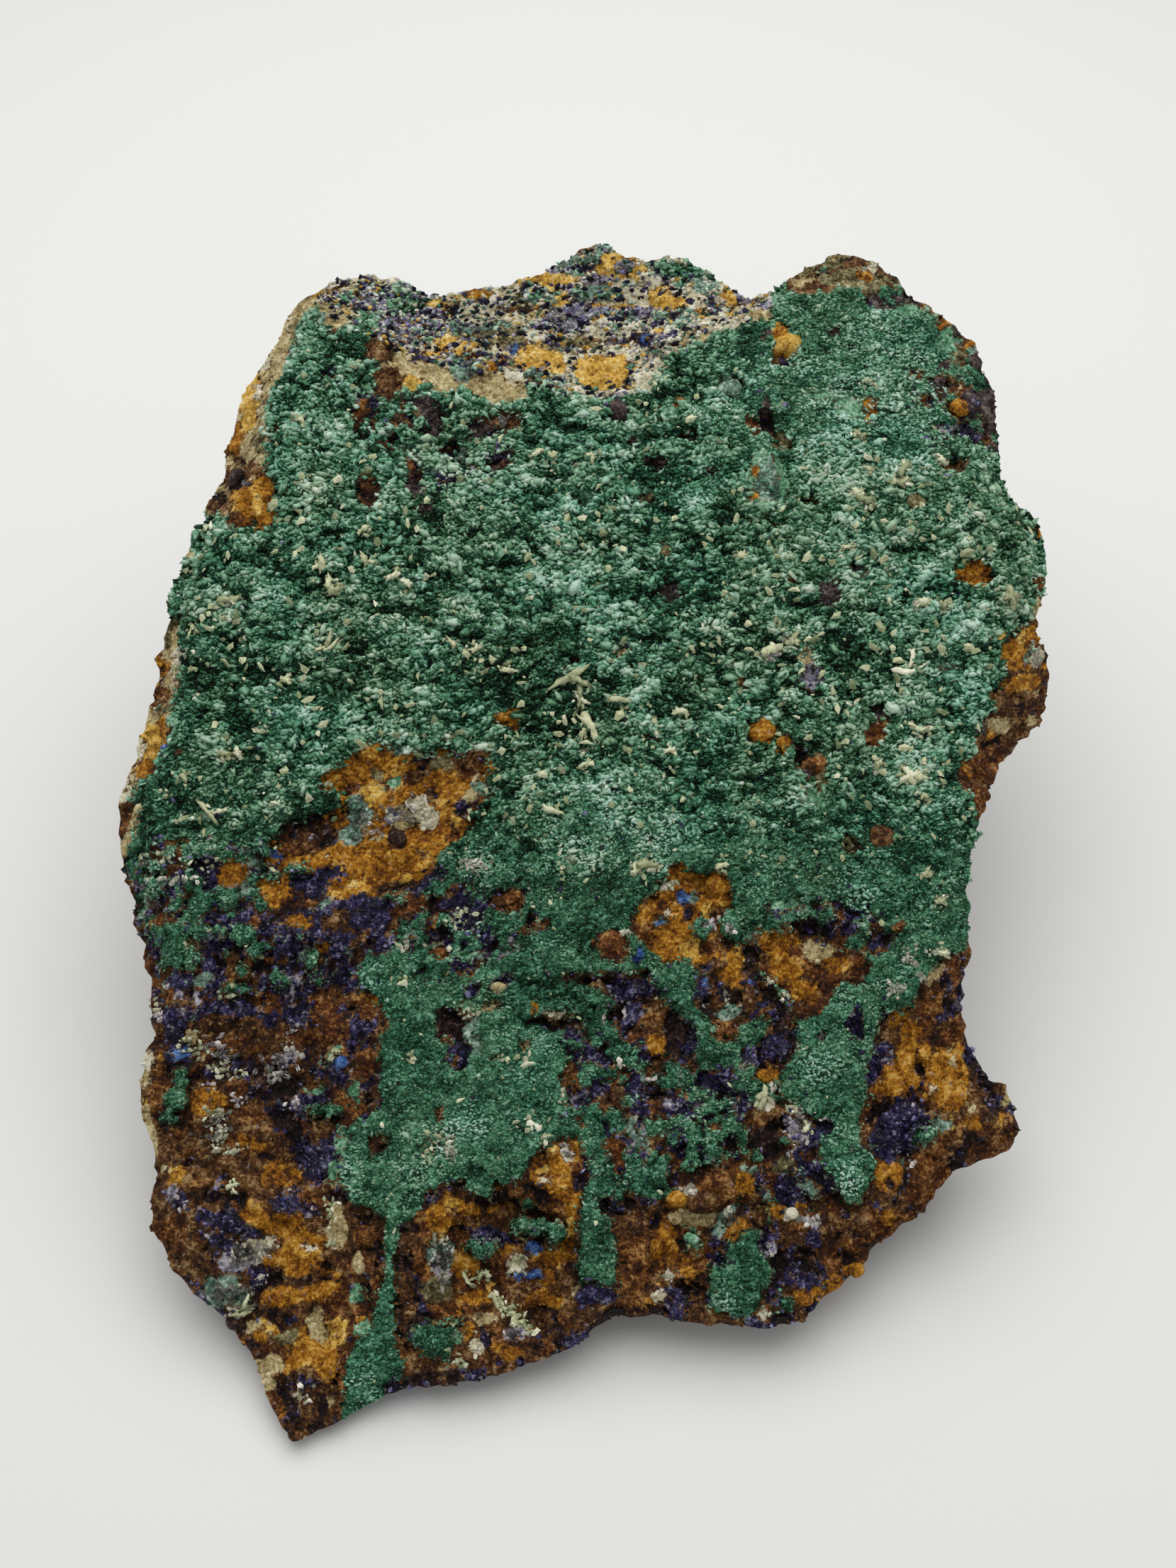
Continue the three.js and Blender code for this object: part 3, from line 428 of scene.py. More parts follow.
        (22.5, -42, 2.2, 1.1), (8, -41.5, 1.7, 0.9), (1.8, -43, 1.5, 0.9), (15.5, -44.8, 3, 0.9),
        (1.5, -36.6, 1.4, 1.3), (18, -39.4, 1.8, 0.7), (5.2, -44.3, 2.2, 0.8), (19.5, -13.5, 1.7, 1.4),
        (25.6, -12.5, 1.6, 1.8), (6.3, -34, 1, 2, 35), (27, -30.5, 1.6, 1.4), (-46.5, -4.3, 2, 0.8),
        (-18.5, 79, 1.6, 1.4), (-22.4, 75.3, 1.5, 1.3), (-28, 76, 1, 0.9), (-30.8, 99.8, 3.6, 2.2),
        (-37.6, 95.6, 2.6, 1.4), (17, 105.8, 4, 2), (28, -49.5, 1.2, 0.9), (33, -47.3, 1.6, 0.9),
        (-49, -22, 1.6, 0.9), (-42, -22, 1.2, 0.8),
    ]),
    ("sage", [
        (-36.8, 6, 2, 2.4), (-38, 2, 2.2, 1.6), (-16.3, 9.8, 1.3, 1.2), (-20.6, 86.7, 2.5, 2.4),
        (-30, 17, 1.4, 0.9), (-54, -71, 3, 1.8), (-22, -65, 2.4, 2.4), (-17.4, -31, 1.2, 3),
        (35.5, -55, 1.6, 1), (22.3, -60, 3.4, 0.9, 45), (56.5, -45, 1.8, 1.2), (62, 30, 2, 1.7),
        (12.7, -12.7, 1.3, 1.2), (18, -8.5, 1.4, 1), (24, -27.5, 2, 1.4), (76, 33, 1.6, 1.6),
        (-46.8, 96.4, 1.5, 1.2), (-8, 101, 3, 1.4), (2, 101.6, 4, 2), (8, 97, 2.6, 1.4),
        (22, 103, 2.6, 2.4), (-42, 100.6, 2, 1.4), (-70.3, 24.3, 0.8, 0.6), (69, 89.6, 1, 0.9),
        (-61, -22, 2, 1), (26, 83, 2.2, 2), (-55.4, -70, 2.6, 2.2), (32.4, 65, 2.2, 4.6, 8),
    ]),
    ("lilac", [
        (-31.8, 5.6, 0.9, 1.4), (-33.2, 94, 3.6, 2.2), (-3.3, 96, 3.6, 3), (-0.6, 98.3, 2, 1.4),
        (7.5, 106.8, 2, 1.2), (32.7, 99.8, 1.8, 1.2), (-22, -67.8, 1.4, 1.6), (-10, -77, 2, 0.8),
        (36, -60, 1.5, 0.8), (-45.2, -42, 1.4, 0.8), (-47, -35, 2, 1.4), (14, -42.3, 1, 1), (34, -46, 2, 1.6),
        (29.6, -64.2, 0.8, 0.7), (38.6, -31.3, 0.7, 0.6), (20.5, -13, 0.8, 1), (-26, 101.6, 3, 0.8, 15),
        (38.6, 29.6, 2.3, 2.4), (66, 76, 1.2, 0.5), (58.4, 18.8, 1.9, 0.9), (2, 104.5, 3, 1),
        (-44.5, 1.6, 0.9, 0.6), (-41.5, 3.2, 0.8, 0.6), (-36, -11, 0.5, 0.5), (-46, -22.6, 1.2, 0.7),
        (-64.5, -27.6, 1, 0.6), (48.8, -35, 0.8, 0.8), (-63.5, -55.5, 1, 1),
        (-53, -65.5, 3.4, 1.9, 20),
    ]),
    ("cream", [
        (-27, 7.2, 1.6, 1), (-25.8, 5, 1.8, 1.4), (-11.3, 85.2, 3.4, 0.8, -40), (14, 87.5, 1.2, 1),
        (2.7, 78.6, 1.2, 0.8), (1.5, 93.3, 6, 0.4), (51, 106.5, 1.5, 0.8), (-43.8, -85.5, 0.8, 1.2),
        (-42, -64, 0.9, 0.5), (-50, -64, 2.8, 1.3, 15),
        (-52.5, -73, 2.2, 0.5, 15), (-53.5, -74.6, 1.4, 0.7), (-16, -79, 0.9, 1.1), (-9.6, -65.5, 0.7, 0.5),
        (-10, -67, 1.1, 0.9), (-2.3, -49.3, 0.9, 1.1), (-5.3, -53.6, 1, 0.4), (17, -55.3, 1.4, 0.7),
        (13.3, -68.2, 0.9, 0.6), (11.5, -71.5, 1.1, 1.1), (32.5, -59, 1, 0.9), (28.5, -73.8, 1.2, 0.5),
        (-13.5, -23.2, 1.5, 0.7), (-3.5, -27.4, 2.6, 0.6), (76.5, 33, 1.4, 1.8), (-75.3, 8, 1.2, 1),
        (-75.6, 12, 0.8, 3), (-73.6, 17, 1, 2), (14.3, -6.4, 1.2, 0.9), (13.6, -10.5, 0.4, 1.6),
        (-68.6, -34.4, 0.7, 1.4), (29, -42, 0.8, 1.6), (33.5, -42.6, 1.2, 0.8), (-56.8, 82, 1, 2),
        (-56.2, 88, 1.2, 3), (-41.8, 10.6, 0.8, 0.5),
    ]),
    ("mint", [
        (-31, 11, 1.2, 1.1), (-52.2, 62.8, 1.1, 1), (46.5, 79.5, 2.4, 2.6), (67, 85.8, 1.4, 0.7),
        (-48, 92.6, 0.8, 1.8), (-42, 101, 1.8, 0.9), (13.3, 76.8, 1.6, 0.9), (-0.6, 75, 1.8, 1.1),
        (58, 98, 1.5, 2, 30), (-62.4, 56.6, 2, 0.9), (-36, -39.4, 0.7, 1.2), (17, -63.2, 0.8, 0.8),
        (-18, -26.5, 1.4, 1.2, 40), (-23.9, -49, 0.6, 2), (-22, -47, 0.9, 0.9), (-67, -0.5, 1.6, 0.8),
        (-61.5, 6, 2.4, 0.6, -40), (33, -9.5, 2.4, 0.8, 20), (-38.4, -52.5, 1.4, 1.6),
        (-37.5, -47.6, 1.2, 1.3), (-39.6, -33.8, 2, 0.5, 30), (-13.5, -34.3, 1.3, 0.6),
        (-43, -39.4, 1.4, 0.5), (-34.2, -71.2, 0.6, 1.6), (-33.5, -76.2, 1.4, 0.8),
        (-19.2, -77.6, 0.7, 1.2), (67.7, 56.5, 2.4, 1.4), (38.6, 8.5, 3, 0.9), (68, 31.8, 0.8, 1.8),
        (64.6, 92, 2.1, 2.4), (0, 62.5, 2.4, 1.2), (-1.5, 58.5, 1.6, 0.8), (2.4, 66, 1.4, 1),
        (8.5, 78, 1.8, 1), (41, 82, 2.4, 1.6),
    ]),
    ("tan", [(38.3, 33.6, 1.9, 2), (6.7, 33.3, 1.6, 1.2)]),
    ("rust", [(27.4, 28.7, 1.4, 1.9)]),
    ("dark", [(36.5, 15.4, 1.5, 2.1, -30), (38.6, 26.6, 2, 0.8, 10)]),
    ("gold", [(-55.6, 60.5, 1.1, 1.8, 10), (5, 86.5, 3, 2), (70, 36.5, 1.2, 1)]),
    ("ochre", [(30.4, 66.6, 0.45, 1.7, -25), (30.8, 62.6, 1, 0.7)]),
    ("blue", [
        (-38.3, -35.2, 0.8, 0.88), (9.2, -17.8, 1.04, 0.96), (-7.2, -63.9, 0.96, 0.8),
        (16.8, -8.6, 0.72, 1.28, 20), (12.7, -12.6, 0.72, 0.72), (-49.8, -1.7, 0.8, 0.8),
        (-63.7, -34, 0.88, 0.8), (-9.8, -68.6, 1.92, 0.48), (-7.4, -68.1, 1.44, 0.56),
        (-69.2, 16.8, 0.56, 0.56), (-26.2, 15.2, 0.64, 0.48), (-11.6, 90.1, 0.88, 1.12),
        (11.6, 92.4, 0.88, 0.96), (-46.2, -57.2, 0.96, 0.64), (27.2, -23.2, 0.48, 0.48),
        (19.6, -22.8, 0.56, 0.8), (30.6, -72.2, 0.64, 0.48), (-38.5, 102.6, 0.8, 0.64),
    ]),
]
# Zones where crust, azurite and broken rock mingle in small pieces: how sparse the crust is there, from -1
# to 1, and an outline of (u, v)
MINGLED = [
    (0.0, [
        (-2, -30), (8, -33), (20, -36), (31, -37), (32, -44), (26, -48.5), (17, -53), (6, -54), (3, -50),
        (-2, -42),
    ]),
    (0.36, [
        (-77, -8), (-62, -9), (-52, -11), (-45, -15), (-37, -17), (-37, -21), (-50, -25), (-62, -26),
        (-80, -26),
    ]),
    (-0.12, [(-72, 0), (-60, 1), (-52, 0), (-50, -6), (-56, -10), (-74, -9)]),
    (-0.12, [(-29, -8), (-19, -7), (-9, -12), (-9, -17), (-18, -20), (-27, -20), (-29, -14)]),
    (0.2, [(-44, -34), (-34, -27), (-32, -40), (-36, -44), (-42, -41)]),
    (0.36, [(24, -52), (32, -42), (37, -46), (36, -60), (26, -60)]),
    (-0.1, [(28, -10), (44, -10), (50, -14), (44, -16.5), (34, -13), (28, -16)]),
    (-0.06, [(-14, 74), (-30, 70), (-34, 80), (-44, 86), (-40, 76), (-30, 64), (-12, 68)]),
    (-0.1, [(58, 86), (66, 84), (70, 74), (64, 66), (60, 78)]),
]
# Plates and folds that stand up from the face: a height in mm, and an outline of (u, v) as the camera sees it
RAISED = [
    (1.3, [(30, 71), (34, 70.5), (36, 65), (35.5, 61), (31, 59.3), (29, 62), (28.8, 67)]),
    (1.8, [
        (13, -19.5), (16.5, -19.5), (18.5, -22.5), (19.5, -26), (21.5, -28.5), (22.5, -31), (22, -34),
        (19, -34.5), (18, -30), (16.5, -27), (13.5, -25.3), (11.5, -22.5),
    ]),
    (2.1, [(-10, -25.6), (-4, -25.4), (1, -25.8), (1.5, -27.6), (-2, -28.5), (-9, -28.3)]),
    (2, [(-12, -21.6), (-4, -18), (8, -17.5), (9, -21.3), (3, -21.8), (-3, -22.6)]),
    (1.7, [(-2, -23.6), (3, -22.9), (5, -24), (5, -25.6), (0, -26)]),
    (1.3, [(44, -13), (53, -12.6), (54, -14.4), (45, -14.6)]),
    (1.2, [(-19.5, -3.5), (-15, -1), (-10, -2.5), (-11, -7.2), (-16, -7.6)]),
]
# Soft patches of paler crust, as (u, v, half across, half along)
HAZE_SPOTS = [
    (53, 93, 9, 8), (46, 79, 4, 4), (40, 81, 3, 3), (57, 96, 3, 2), (-22, -48, 4, 4), (-16, -3, 6, 4),
    (-20, -12, 4, 3), (32, 65.5, 3.4, 6), (-42, 84, 3, 2), (0, 62, 3, 3), (20, 62, 4, 2.4),
    (-5, 58, 3, 3), (38.5, 30, 4, 5), (3, 38, 5, 3), (-52, 43, 5, 2), (-54, 8, 6, 5), (60, 8, 4, 2),
    (-68, -3, 4, 5), (56, -47, 2, 3), (-36, -52, 2, 5), (-33, -85, 3, 3), (-41, -36, 4, 2), (22, -72, 3, 3),
    (42, -53, 3, 3), (-27, 46, 3, 3), (33, 8, 6, 5), (60, 40, 8, 5), (55, 14, 5, 5),
    (-30, 36, 6, 4), (-62, 44, 3, 3), (-18, -45, 5, 4), (38, -36, 4, 4), (64, 60, 4, 4), (0, -1, 7, 4),
    (52, 84, 12, 12), (57, 49, 6, 5), (56, 69, 8, 4), (64, 27, 5, 6), (45, -8, 7, 3),
    (-20, -56, 6, 3), (12, -3, 4, 3), (6, 8, 10, 7), (14, 2, 9, 5), (-18, 66, 11, 6),
    (-5, 50, 9, 5), (44, 70, 9, 8), (60, 78, 5, 6), (36, 88, 6, 6),
]
# Soft patches of darker crust, in the same form
SHADE_SPOTS = [
    (17, 27, 9, 7), (4, 22, 8, 6), (-10, 27, 7, 4), (-29.5, 38, 4, 7), (-23, 46.6, 4, 5), (-44, 63, 6, 5),
    (37, 19, 7, 6), (30, 9, 6, 4), (0, -27, 9, 4), (-16, 34, 8, 6), (-60, 30, 9, 9), (-40, 30, 8, 5),
    (23, -24, 8, 5), (-24, 60, 6, 5), (26, 60, 6, 8), (-4, 22, 13, 9), (-8, 31, 12, 7),
]

# Kinds of rock that drift over another, as (kind beneath, kind on top, size of the clouds in mm, seed,
# threshold). The higher the threshold, from -1 to 1, the less there is
MOTTLES = [
    ("brown", "rust", 6, 21, 0.05), ("brown", "dark", 5, 22, 0.12), ("brown", "ochre", 4, 23, 0.42),
    ("brown", "violet", 4.5, 24, 0.46), ("brown", "tan", 3.5, 25, 0.42),
    ("violet", "dark", 4, 26, -0.02), ("violet", "brown", 5, 27, 0.16), ("violet", "sage", 3, 28, 0.3),
    ("violet", "lilac", 2.6, 29, 0.44), ("ochre", "rust", 3.5, 30, 0.26), ("ochre", "tan", 3, 31, 0.42),
    ("tan", "gold", 5, 32, 0.16), ("tan", "brown", 4, 33, 0.3), ("tan", "cream", 3, 34, 0.3),
    ("dark", "brown", 3, 35, 0.0), ("dark", "violet", 3, 36, 0.14), ("dark", "rust", 2.6, 67, 0.26),
    ("plum", "dark", 3, 74, 0.2), ("plum", "crust", 2, 75, 0.3), ("rust", "dark", 3, 37, 0.2),
    ("rust", "ochre", 2.4, 68, 0.34), ("olive", "brown", 4, 38, 0.1), ("olive", "tan", 3, 39, 0.2),
    ("ochre", "gold", 2.6, 69, 0.3),
]
# Kinds of rock that drift over the brown of the broken walls, as (kind, size in mm, seed, threshold)
WALL_CLOUDS = [
    ("ochre", 12, 47, 0.24), ("tan", 16, 43, 0.26), ("rust", 13, 44, 0.05), ("dark", 14, 45, 0.14),
    ("violet", 9, 46, 0.46),
]
# Kinds of rock that drift over the cream of the scooped edge, as (kind, seed, threshold)
SCOOP_CLOUDS = [
    ("gold", 16, 0.02), ("sage", 17, 0.16), ("lilac", 19, 0.21), ("olive", 18, 0.4), ("violet", 20, 0.36),
]
# Kinds of the grains on the scooped edge, as (kind, low, high): a grain is of the kind that its draw falls in
SCOOP_GRAIN_KINDS = [
    ("violet", 0.0, 0.25), ("sage", 0.25, 0.44), ("crust", 0.44, 0.54), ("lilac", 0.54, 0.66),
    ("gold", 0.66, 0.76), ("cream", 0.76, 1.2),
]


def colour(hex_text):
    """A linear RGBA colour from an sRGB hex text such as '#3f7a5c'."""
    values = np.array([int(hex_text[i:i + 2], 16) for i in (1, 3, 5)]) / 255
    linear = np.where(values <= 0.04045, values / 12.92, ((values + 0.055) / 1.055) ** 2.4)
    return (*linear.tolist(), 1.0)


def smooth(low, high, value):
    """0 below low, 1 above high, and an S-shaped rise between them."""
    share = np.clip((value - low) / (high - low), 0, 1)
    return share * share * (3 - 2 * share)


# Repeatable noise

def lattice_random(cell, seed):
    """A repeatable number from 0 to 1 for each whole-number place, by mixing the bits of its coordinates."""
    cell = cell.astype(np.int64).astype(np.uint32)
    mixed = np.uint32((seed * HASH_OF_SEED) % 2 ** 32)
    for axis, factor in enumerate(HASH_OF_AXIS):
        mixed = mixed ^ (cell[..., axis] * np.uint32(factor))
    for shift, factor in HASH_ROUNDS:
        mixed = (mixed ^ (mixed >> np.uint32(shift))) * np.uint32(factor)
    return (mixed >> np.uint32(8)) / 2.0 ** 24


def cloud(points, size, seed, octaves=2):
    """Value noise from -1 to 1: random numbers on a lattice of the given size in mm, smoothly blended.

    Each further octave is half as large and half as strong.
    """
    total = np.zeros(len(points))
    strength_sum = 0.0
    for octave in range(octaves):
        place = points * (2.0 ** octave / size) + 17.3 * octave
        cell = np.floor(place)
        share = place - cell
        share = share * share * (3 - 2 * share)
        value = np.zeros(len(points))
        for corner in np.ndindex(2, 2, 2):
            corner = np.array(corner)
            weight = np.where(corner, share, 1 - share).prod(axis=-1)
            value += weight * lattice_random(cell + corner, seed + octave)
        total += (value * 2 - 1) * 0.5 ** octave
        strength_sum += 0.5 ** octave
    return total / strength_sum


def lumps(points, size, seed):
    """Round lumps of the given size in mm: 1 at the middle of a lump and 0 where two lumps meet."""
    place = points / size
    cell = np.floor(place)
    nearest = np.full(len(points), 9.0)
    second = np.full(len(points), 9.0)
    for step in np.ndindex(3, 3, 3):
        corner = cell + np.array(step) - 1
        jitter = np.stack([lattice_random(corner, seed + axis) for axis in range(3)], axis=-1)
        gap = np.linalg.norm(corner + jitter - place, axis=-1)
        second = np.minimum(second, np.maximum(nearest, gap))
        nearest = np.minimum(nearest, gap)
    return np.clip((second - nearest) * 1.6, 0, 1)


# The stone's form

def spline(points, count):
    """count + 1 evenly spaced points on a smooth curve through the given ones (centripetal Catmull-Rom)."""
    given = np.array(points, float)
    before = 2 * given[:1] - given[1:2]
    after = 2 * given[-1:] - given[-2:-1]
    given = np.concatenate([before, given, after])
    p0, p1, p2, p3 = given[:-3], given[1:-2], given[2:-1], given[3:]
    gaps = np.sqrt(np.linalg.norm(np.diff(given, axis=0), axis=1))[:, None]
    g0, g1, g2 = gaps[:-2], gaps[1:-1], gaps[2:]
    start = g1 * ((p1 - p0) / g0 - (p2 - p0) / (g0 + g1) + (p2 - p1) / g1)
    end = g1 * ((p2 - p1) / g1 - (p3 - p1) / (g1 + g2) + (p3 - p2) / g2)
    share = np.linspace(0, 1, EDGE_STEPS, endpoint=False)[None, :, None]
    p1, p2, start, end = (part[:, None] for part in (p1, p2, start, end))
    curve = p1 + start * share + (3 * (p2 - p1) - 2 * start - end) * share ** 2
    curve = (curve + (2 * (p1 - p2) + start + end) * share ** 3).reshape(-1, 3)
    curve = np.concatenate([curve, given[-2:-1]])
    length = np.concatenate([[0], np.linalg.norm(np.diff(curve, axis=0), axis=1).cumsum()])
    even = np.linspace(0, length[-1], count + 1)
    return np.stack([np.interp(even, length, curve[:, axis]) for axis in range(3)], axis=1)


def face_grid():
    """(u, v) of the face's points, row by row, and the rim's points with their drops.

    The grid blends between the four sides (a Coons patch). Then each pass moves its inner points halfway to
    the middle of their neighbours, which evens it out.
    """
    top = spline(TOP_EDGE, FACE_COLUMNS)
    bottom = spline(BOTTOM_EDGE, FACE_COLUMNS)
    left = spline(LEFT_EDGE, FACE_ROWS)
    right = spline(RIGHT_EDGE, FACE_ROWS)
    up = np.linspace(0, 1, FACE_ROWS + 1)[:, None, None]
    across = np.linspace(0, 1, FACE_COLUMNS + 1)[None, :, None]
    grid = bottom[None] * (1 - up) + top[None] * up + left[:, None] * (1 - across) + right[:, None] * across
    grid = grid - (1 - up) * ((1 - across) * bottom[0] + across * bottom[-1])
    grid = grid - up * ((1 - across) * top[0] + across * top[-1])
    grid = grid[..., :2].copy()
    for _ in range(EVENING_PASSES):
        middle = grid[:-2, 1:-1] + grid[2:, 1:-1] + grid[1:-1, :-2] + grid[1:-1, 2:]
        grid[1:-1, 1:-1] = 0.5 * grid[1:-1, 1:-1] + 0.125 * middle
    return grid, np.concatenate([bottom, right, top, left])


def scoop_run(u, v):
    """Share of the way down the scooped top edge, from 0 at its ridge to 1."""
    ridge = np.interp(u, SCOOP_RIDGE[:, 0], SCOOP_RIDGE[:, 1])
    return np.clip((v - ridge) / SCOOP_RUN, 0, 1)


def hollow_depth(u, v):
    """Depth of the rock's hollows, each flat in the middle of an ellipse with a rounded edge."""
    depth = np.zeros_like(u)
    for middle_u, middle_v, across, along, turn, deep in HOLLOWS:
        reach = ellipse_reach(u, v, middle_u, middle_v, across, along, turn)
        depth = depth + deep * (1 - smooth(0.7, 1.15, reach))
    return depth


def raised_height(u, v, w):
    """Height added by the plates and folds, each flat on top with a steep edge."""
    seen_u, seen_v = seen_from_camera(u, v, w)
    height = np.zeros_like(u)
    for top, outline in RAISED:
        height = np.maximum(height, top * smooth(-0.4, 0.6, patch_distance(seen_u, seen_v, outline)))
    return height


def ellipse_reach(u, v, middle_u, middle_v, across, along, turn=0):
    """Distance from a turned ellipse's middle, as a share of its radius in that direction."""
    angle = math.radians(turn)
    first = (u - middle_u) * math.cos(angle) + (v - middle_v) * math.sin(angle)
    second = (v - middle_v) * math.cos(angle) - (u - middle_u) * math.sin(angle)
    return np.hypot(first / across, second / along)


def swell(u, v):
    """Long waves of the crusted face, the same as the solid model's."""
    broad = np.sin(u / 13 + 1.3) * np.cos(v / 17 - 0.6)
    fine = np.sin(u / 7.1 - v / 8.3 + 2.1) * np.sin(v / 9.7 + u / 21)
    return SWELL_HEIGHT * (0.7 * broad + 0.5 * fine)


def rim_gap(u, v, rim):
    """Distance of each place from the rim, and the drop of the nearest rim point.

    The rim is taken in 60 parts, to save memory.
    """
    gap = np.full(u.shape, np.inf)
    drop = np.zeros_like(u)
    for part in np.array_split(np.arange(len(rim)), 60):
        distances = np.hypot(u[:, None] - rim[part, 0], v[:, None] - rim[part, 1])
        nearest = distances.argmin(axis=1)
        found = distances[np.arange(len(u)), nearest]
        closer = found < gap
        gap = np.where(closer, found, gap)
        drop = np.where(closer, rim[part, 2][nearest], drop)
    return gap, drop


def place_on_face(u, v, w):
    """Points of the face turned into the stone's own axes, with Z up from its base."""
    back = v * math.cos(FACE_TILT) - w * math.sin(FACE_TILT)
    up = v * math.sin(FACE_TILT) + w * math.cos(FACE_TILT)
    return np.stack([u, back, up + FACE_HEIGHT], axis=-1)


def crease(turns):
    """A zigzag wave from -1 to 1: straight runs that meet in creases."""
    return 1 - 4 * np.abs(turns - np.floor(turns) - 0.5)


def fracture_depth(x, y, z):
    """Relief of a broken wall: crossing sets of flat facets, each set with its own slant and spacing."""
    large = crease(x / 71 + y / 53 + z / 61 + 0.15)
    middle = crease(x / 37 - y / 43 + z / 31 + 0.6)
    small = crease(x / 19 + y / 23 - z / 17 + 0.35)
    return FRACTURE_DEPTH * (0.5 * large + 0.32 * middle + 0.18 * small - 0.3)


def base_reach(angle):
    """Distance of the base's outline from its middle, running smoothly between its twelve radii."""
    turn = (angle / (2 * math.pi)) % 1 * len(BASE_REACH)
    before = np.floor(turn).astype(int) % len(BASE_REACH)
    after = (before + 1) % len(BASE_REACH)
    share = smooth(0, 1, turn - np.floor(turn))
    return BASE_REACH[before] * (1 - share) + BASE_REACH[after] * share


def wall_points(rim_points, fall):
    """Points of the wall under the rim, as rings. fall is 0 at the rim and 1 at the base."""
    outward = rim_points[:, :2] - BASE_MIDDLE
    reach = np.linalg.norm(outward, axis=1)
    angle = np.arctan2(outward[:, 1], outward[:, 0])
    outward = outward / reach[:, None]
    fall = fall[:, None]
    height = rim_points[:, 2] * (1 - fall)
    taper = 1 - (1 - fall) ** WALL_CURVE
    level = reach * (1 - taper) + base_reach(angle) * taper
    relief = np.minimum(1, rim_points[:, 2] / FRACTURE_FULL_HEIGHT) * smooth(0, FRACTURE_START, fall)
    x = BASE_MIDDLE[0] + outward[:, 0] * level
    y = BASE_MIDDLE[1] + outward[:, 1] * level
    level = level + relief * fracture_depth(x, y, height)
    x = BASE_MIDDLE[0] + outward[:, 0] * level
    y = BASE_MIDDLE[1] + outward[:, 1] * level
    return np.stack([x, y, height], axis=-1)


# What the surface is made of

def patch_distance(u, v, outline):
    """Distance in mm from a patch's outline, positive inside the patch and negative outside it."""
    corner = np.array(outline, float)
    following = np.roll(corner, -1, axis=0)
    edge = following - corner
    offset_u = u[:, None] - corner[:, 0]
    offset_v = v[:, None] - corner[:, 1]
    along = (offset_u * edge[:, 0] + offset_v * edge[:, 1]) / (edge ** 2).sum(axis=1)
    along = np.clip(along, 0, 1)
    gap = np.hypot(offset_u - along * edge[:, 0], offset_v - along * edge[:, 1]).min(axis=1)
    rising = (corner[:, 1] > v[:, None]) != (following[:, 1] > v[:, None])
    slope = edge[:, 0] / np.where(edge[:, 1] == 0, 1e-9, edge[:, 1])
    crossing = rising & (offset_u < offset_v * slope)
    return np.where(crossing.sum(axis=1) % 2 == 1, gap, -gap)


def seen_from_camera(u, v, w):
    """Where the camera sees each point on the face's plane: its line of sight is followed to that plane."""
    across, back, up = CAMERA_FROM_FACE
    eye_v = back * math.cos(FACE_TILT) + up * math.sin(FACE_TILT)
    eye_w = up * math.cos(FACE_TILT) - back * math.sin(FACE_TILT)
    stretch = eye_w / (eye_w - w)
    return across + (u - across) * stretch, eye_v + (v - eye_v) * stretch


def paint(kinds, name, share):
    """Lays a share of one kind of rock over the others, as paint covers what is under it."""
    hit = share > 0
    kinds[:, hit] *= 1 - share[hit]
    kinds[KINDS.index(name), hit] += share[hit]


def face_kinds(u, v, w):
    """Shares from 0 to 1 of each kind of rock on the face, from its patches and spots with ragged edges.

    Noise of 5 mm moves each place before its patch is looked up, and noise of 2.2 mm before its spot, which
    makes the edges ragged. Noise also mottles the larger patches.
    """
    seen_u, seen_v = seen_from_camera(u, v, w)
    flat = np.stack([u, v, np.zeros_like(u)], axis=-1)
    far_u = seen_u + 1.5 * cloud(flat, 5, 11, 4)
    far_v = seen_v + 1.5 * cloud(flat, 5, 12, 4)
    near_u = seen_u + 1.2 * cloud(flat, 2.2, 13, 2)
    near_v = seen_v + 1.2 * cloud(flat, 2.2, 14, 2)
    kinds = np.zeros((len(KINDS), len(u)))
    kinds[0] = 1
    edge = scoop_run(far_u, far_v) * SCOOP_RUN
    paint(kinds, "cream", smooth(0.2, 1.4, edge))
    fine = cloud(flat * [0.5, 1, 1], 2.6, 15, 2)
    for name, seed, low in SCOOP_CLOUDS:
        drift = cloud(flat * [0.6, 1, 1], 4.5, seed, 3)
        paint(kinds, name, smooth(0.2, 1.4, edge) * smooth(low, low + 0.16, drift + 0.2 * fine))
    for name, outline in PATCHES:
        paint(kinds, name, smooth(-0.5, 0.5, patch_distance(far_u, far_v, outline)))
    mottle(kinds, flat, 1 - kinds[0])
    for low, outline in MINGLED:
        zone = smooth(-2.5, 1.5, patch_distance(far_u, far_v, outline))
        mingle(kinds, flat, zone, low)
    for name, spots in SPOTS:
        for spot in spots:
            reach = ellipse_reach(near_u, near_v, *spot)
            paint(kinds, name, smooth(-0.55, 0.55, (1 - reach) * min(spot[2:4])))
        if name == "plum":
            mottle(kinds, flat, 1 - kinds[0], {"dark", "plum"})
    return dict(zip(KINDS, kinds))


def mingle(kinds, points, amount, low):
    """Mixes small pieces of rock, azurite and crust over what is there; the higher low, the less crust."""
    for name, size, seed, start in (
        ("dark", 3.0, 61, -0.05), ("violet", 3.2, 62, 0.08), ("crust", 2.9, 63, low), ("sage", 2.0, 64, 0.3),
        ("rust", 3.0, 65, 0.3), ("lilac", 1.9, 66, 0.42),
    ):
        paint(kinds, name, amount * smooth(start, start + 0.12, cloud(points, size, seed, 3)))


def mottle(kinds, points, amount, only=frozenset(KINDS)):
    """Breaks up the patches of open rock with drifting clouds of the kinds of rock that are found in each."""
    for onto, name, size, seed, low in MOTTLES:
        if onto in only:
            share = kinds[KINDS.index(onto)] * amount * smooth(low, low + 0.14, cloud(points, size, seed, 3))
            paint(kinds, name, share)


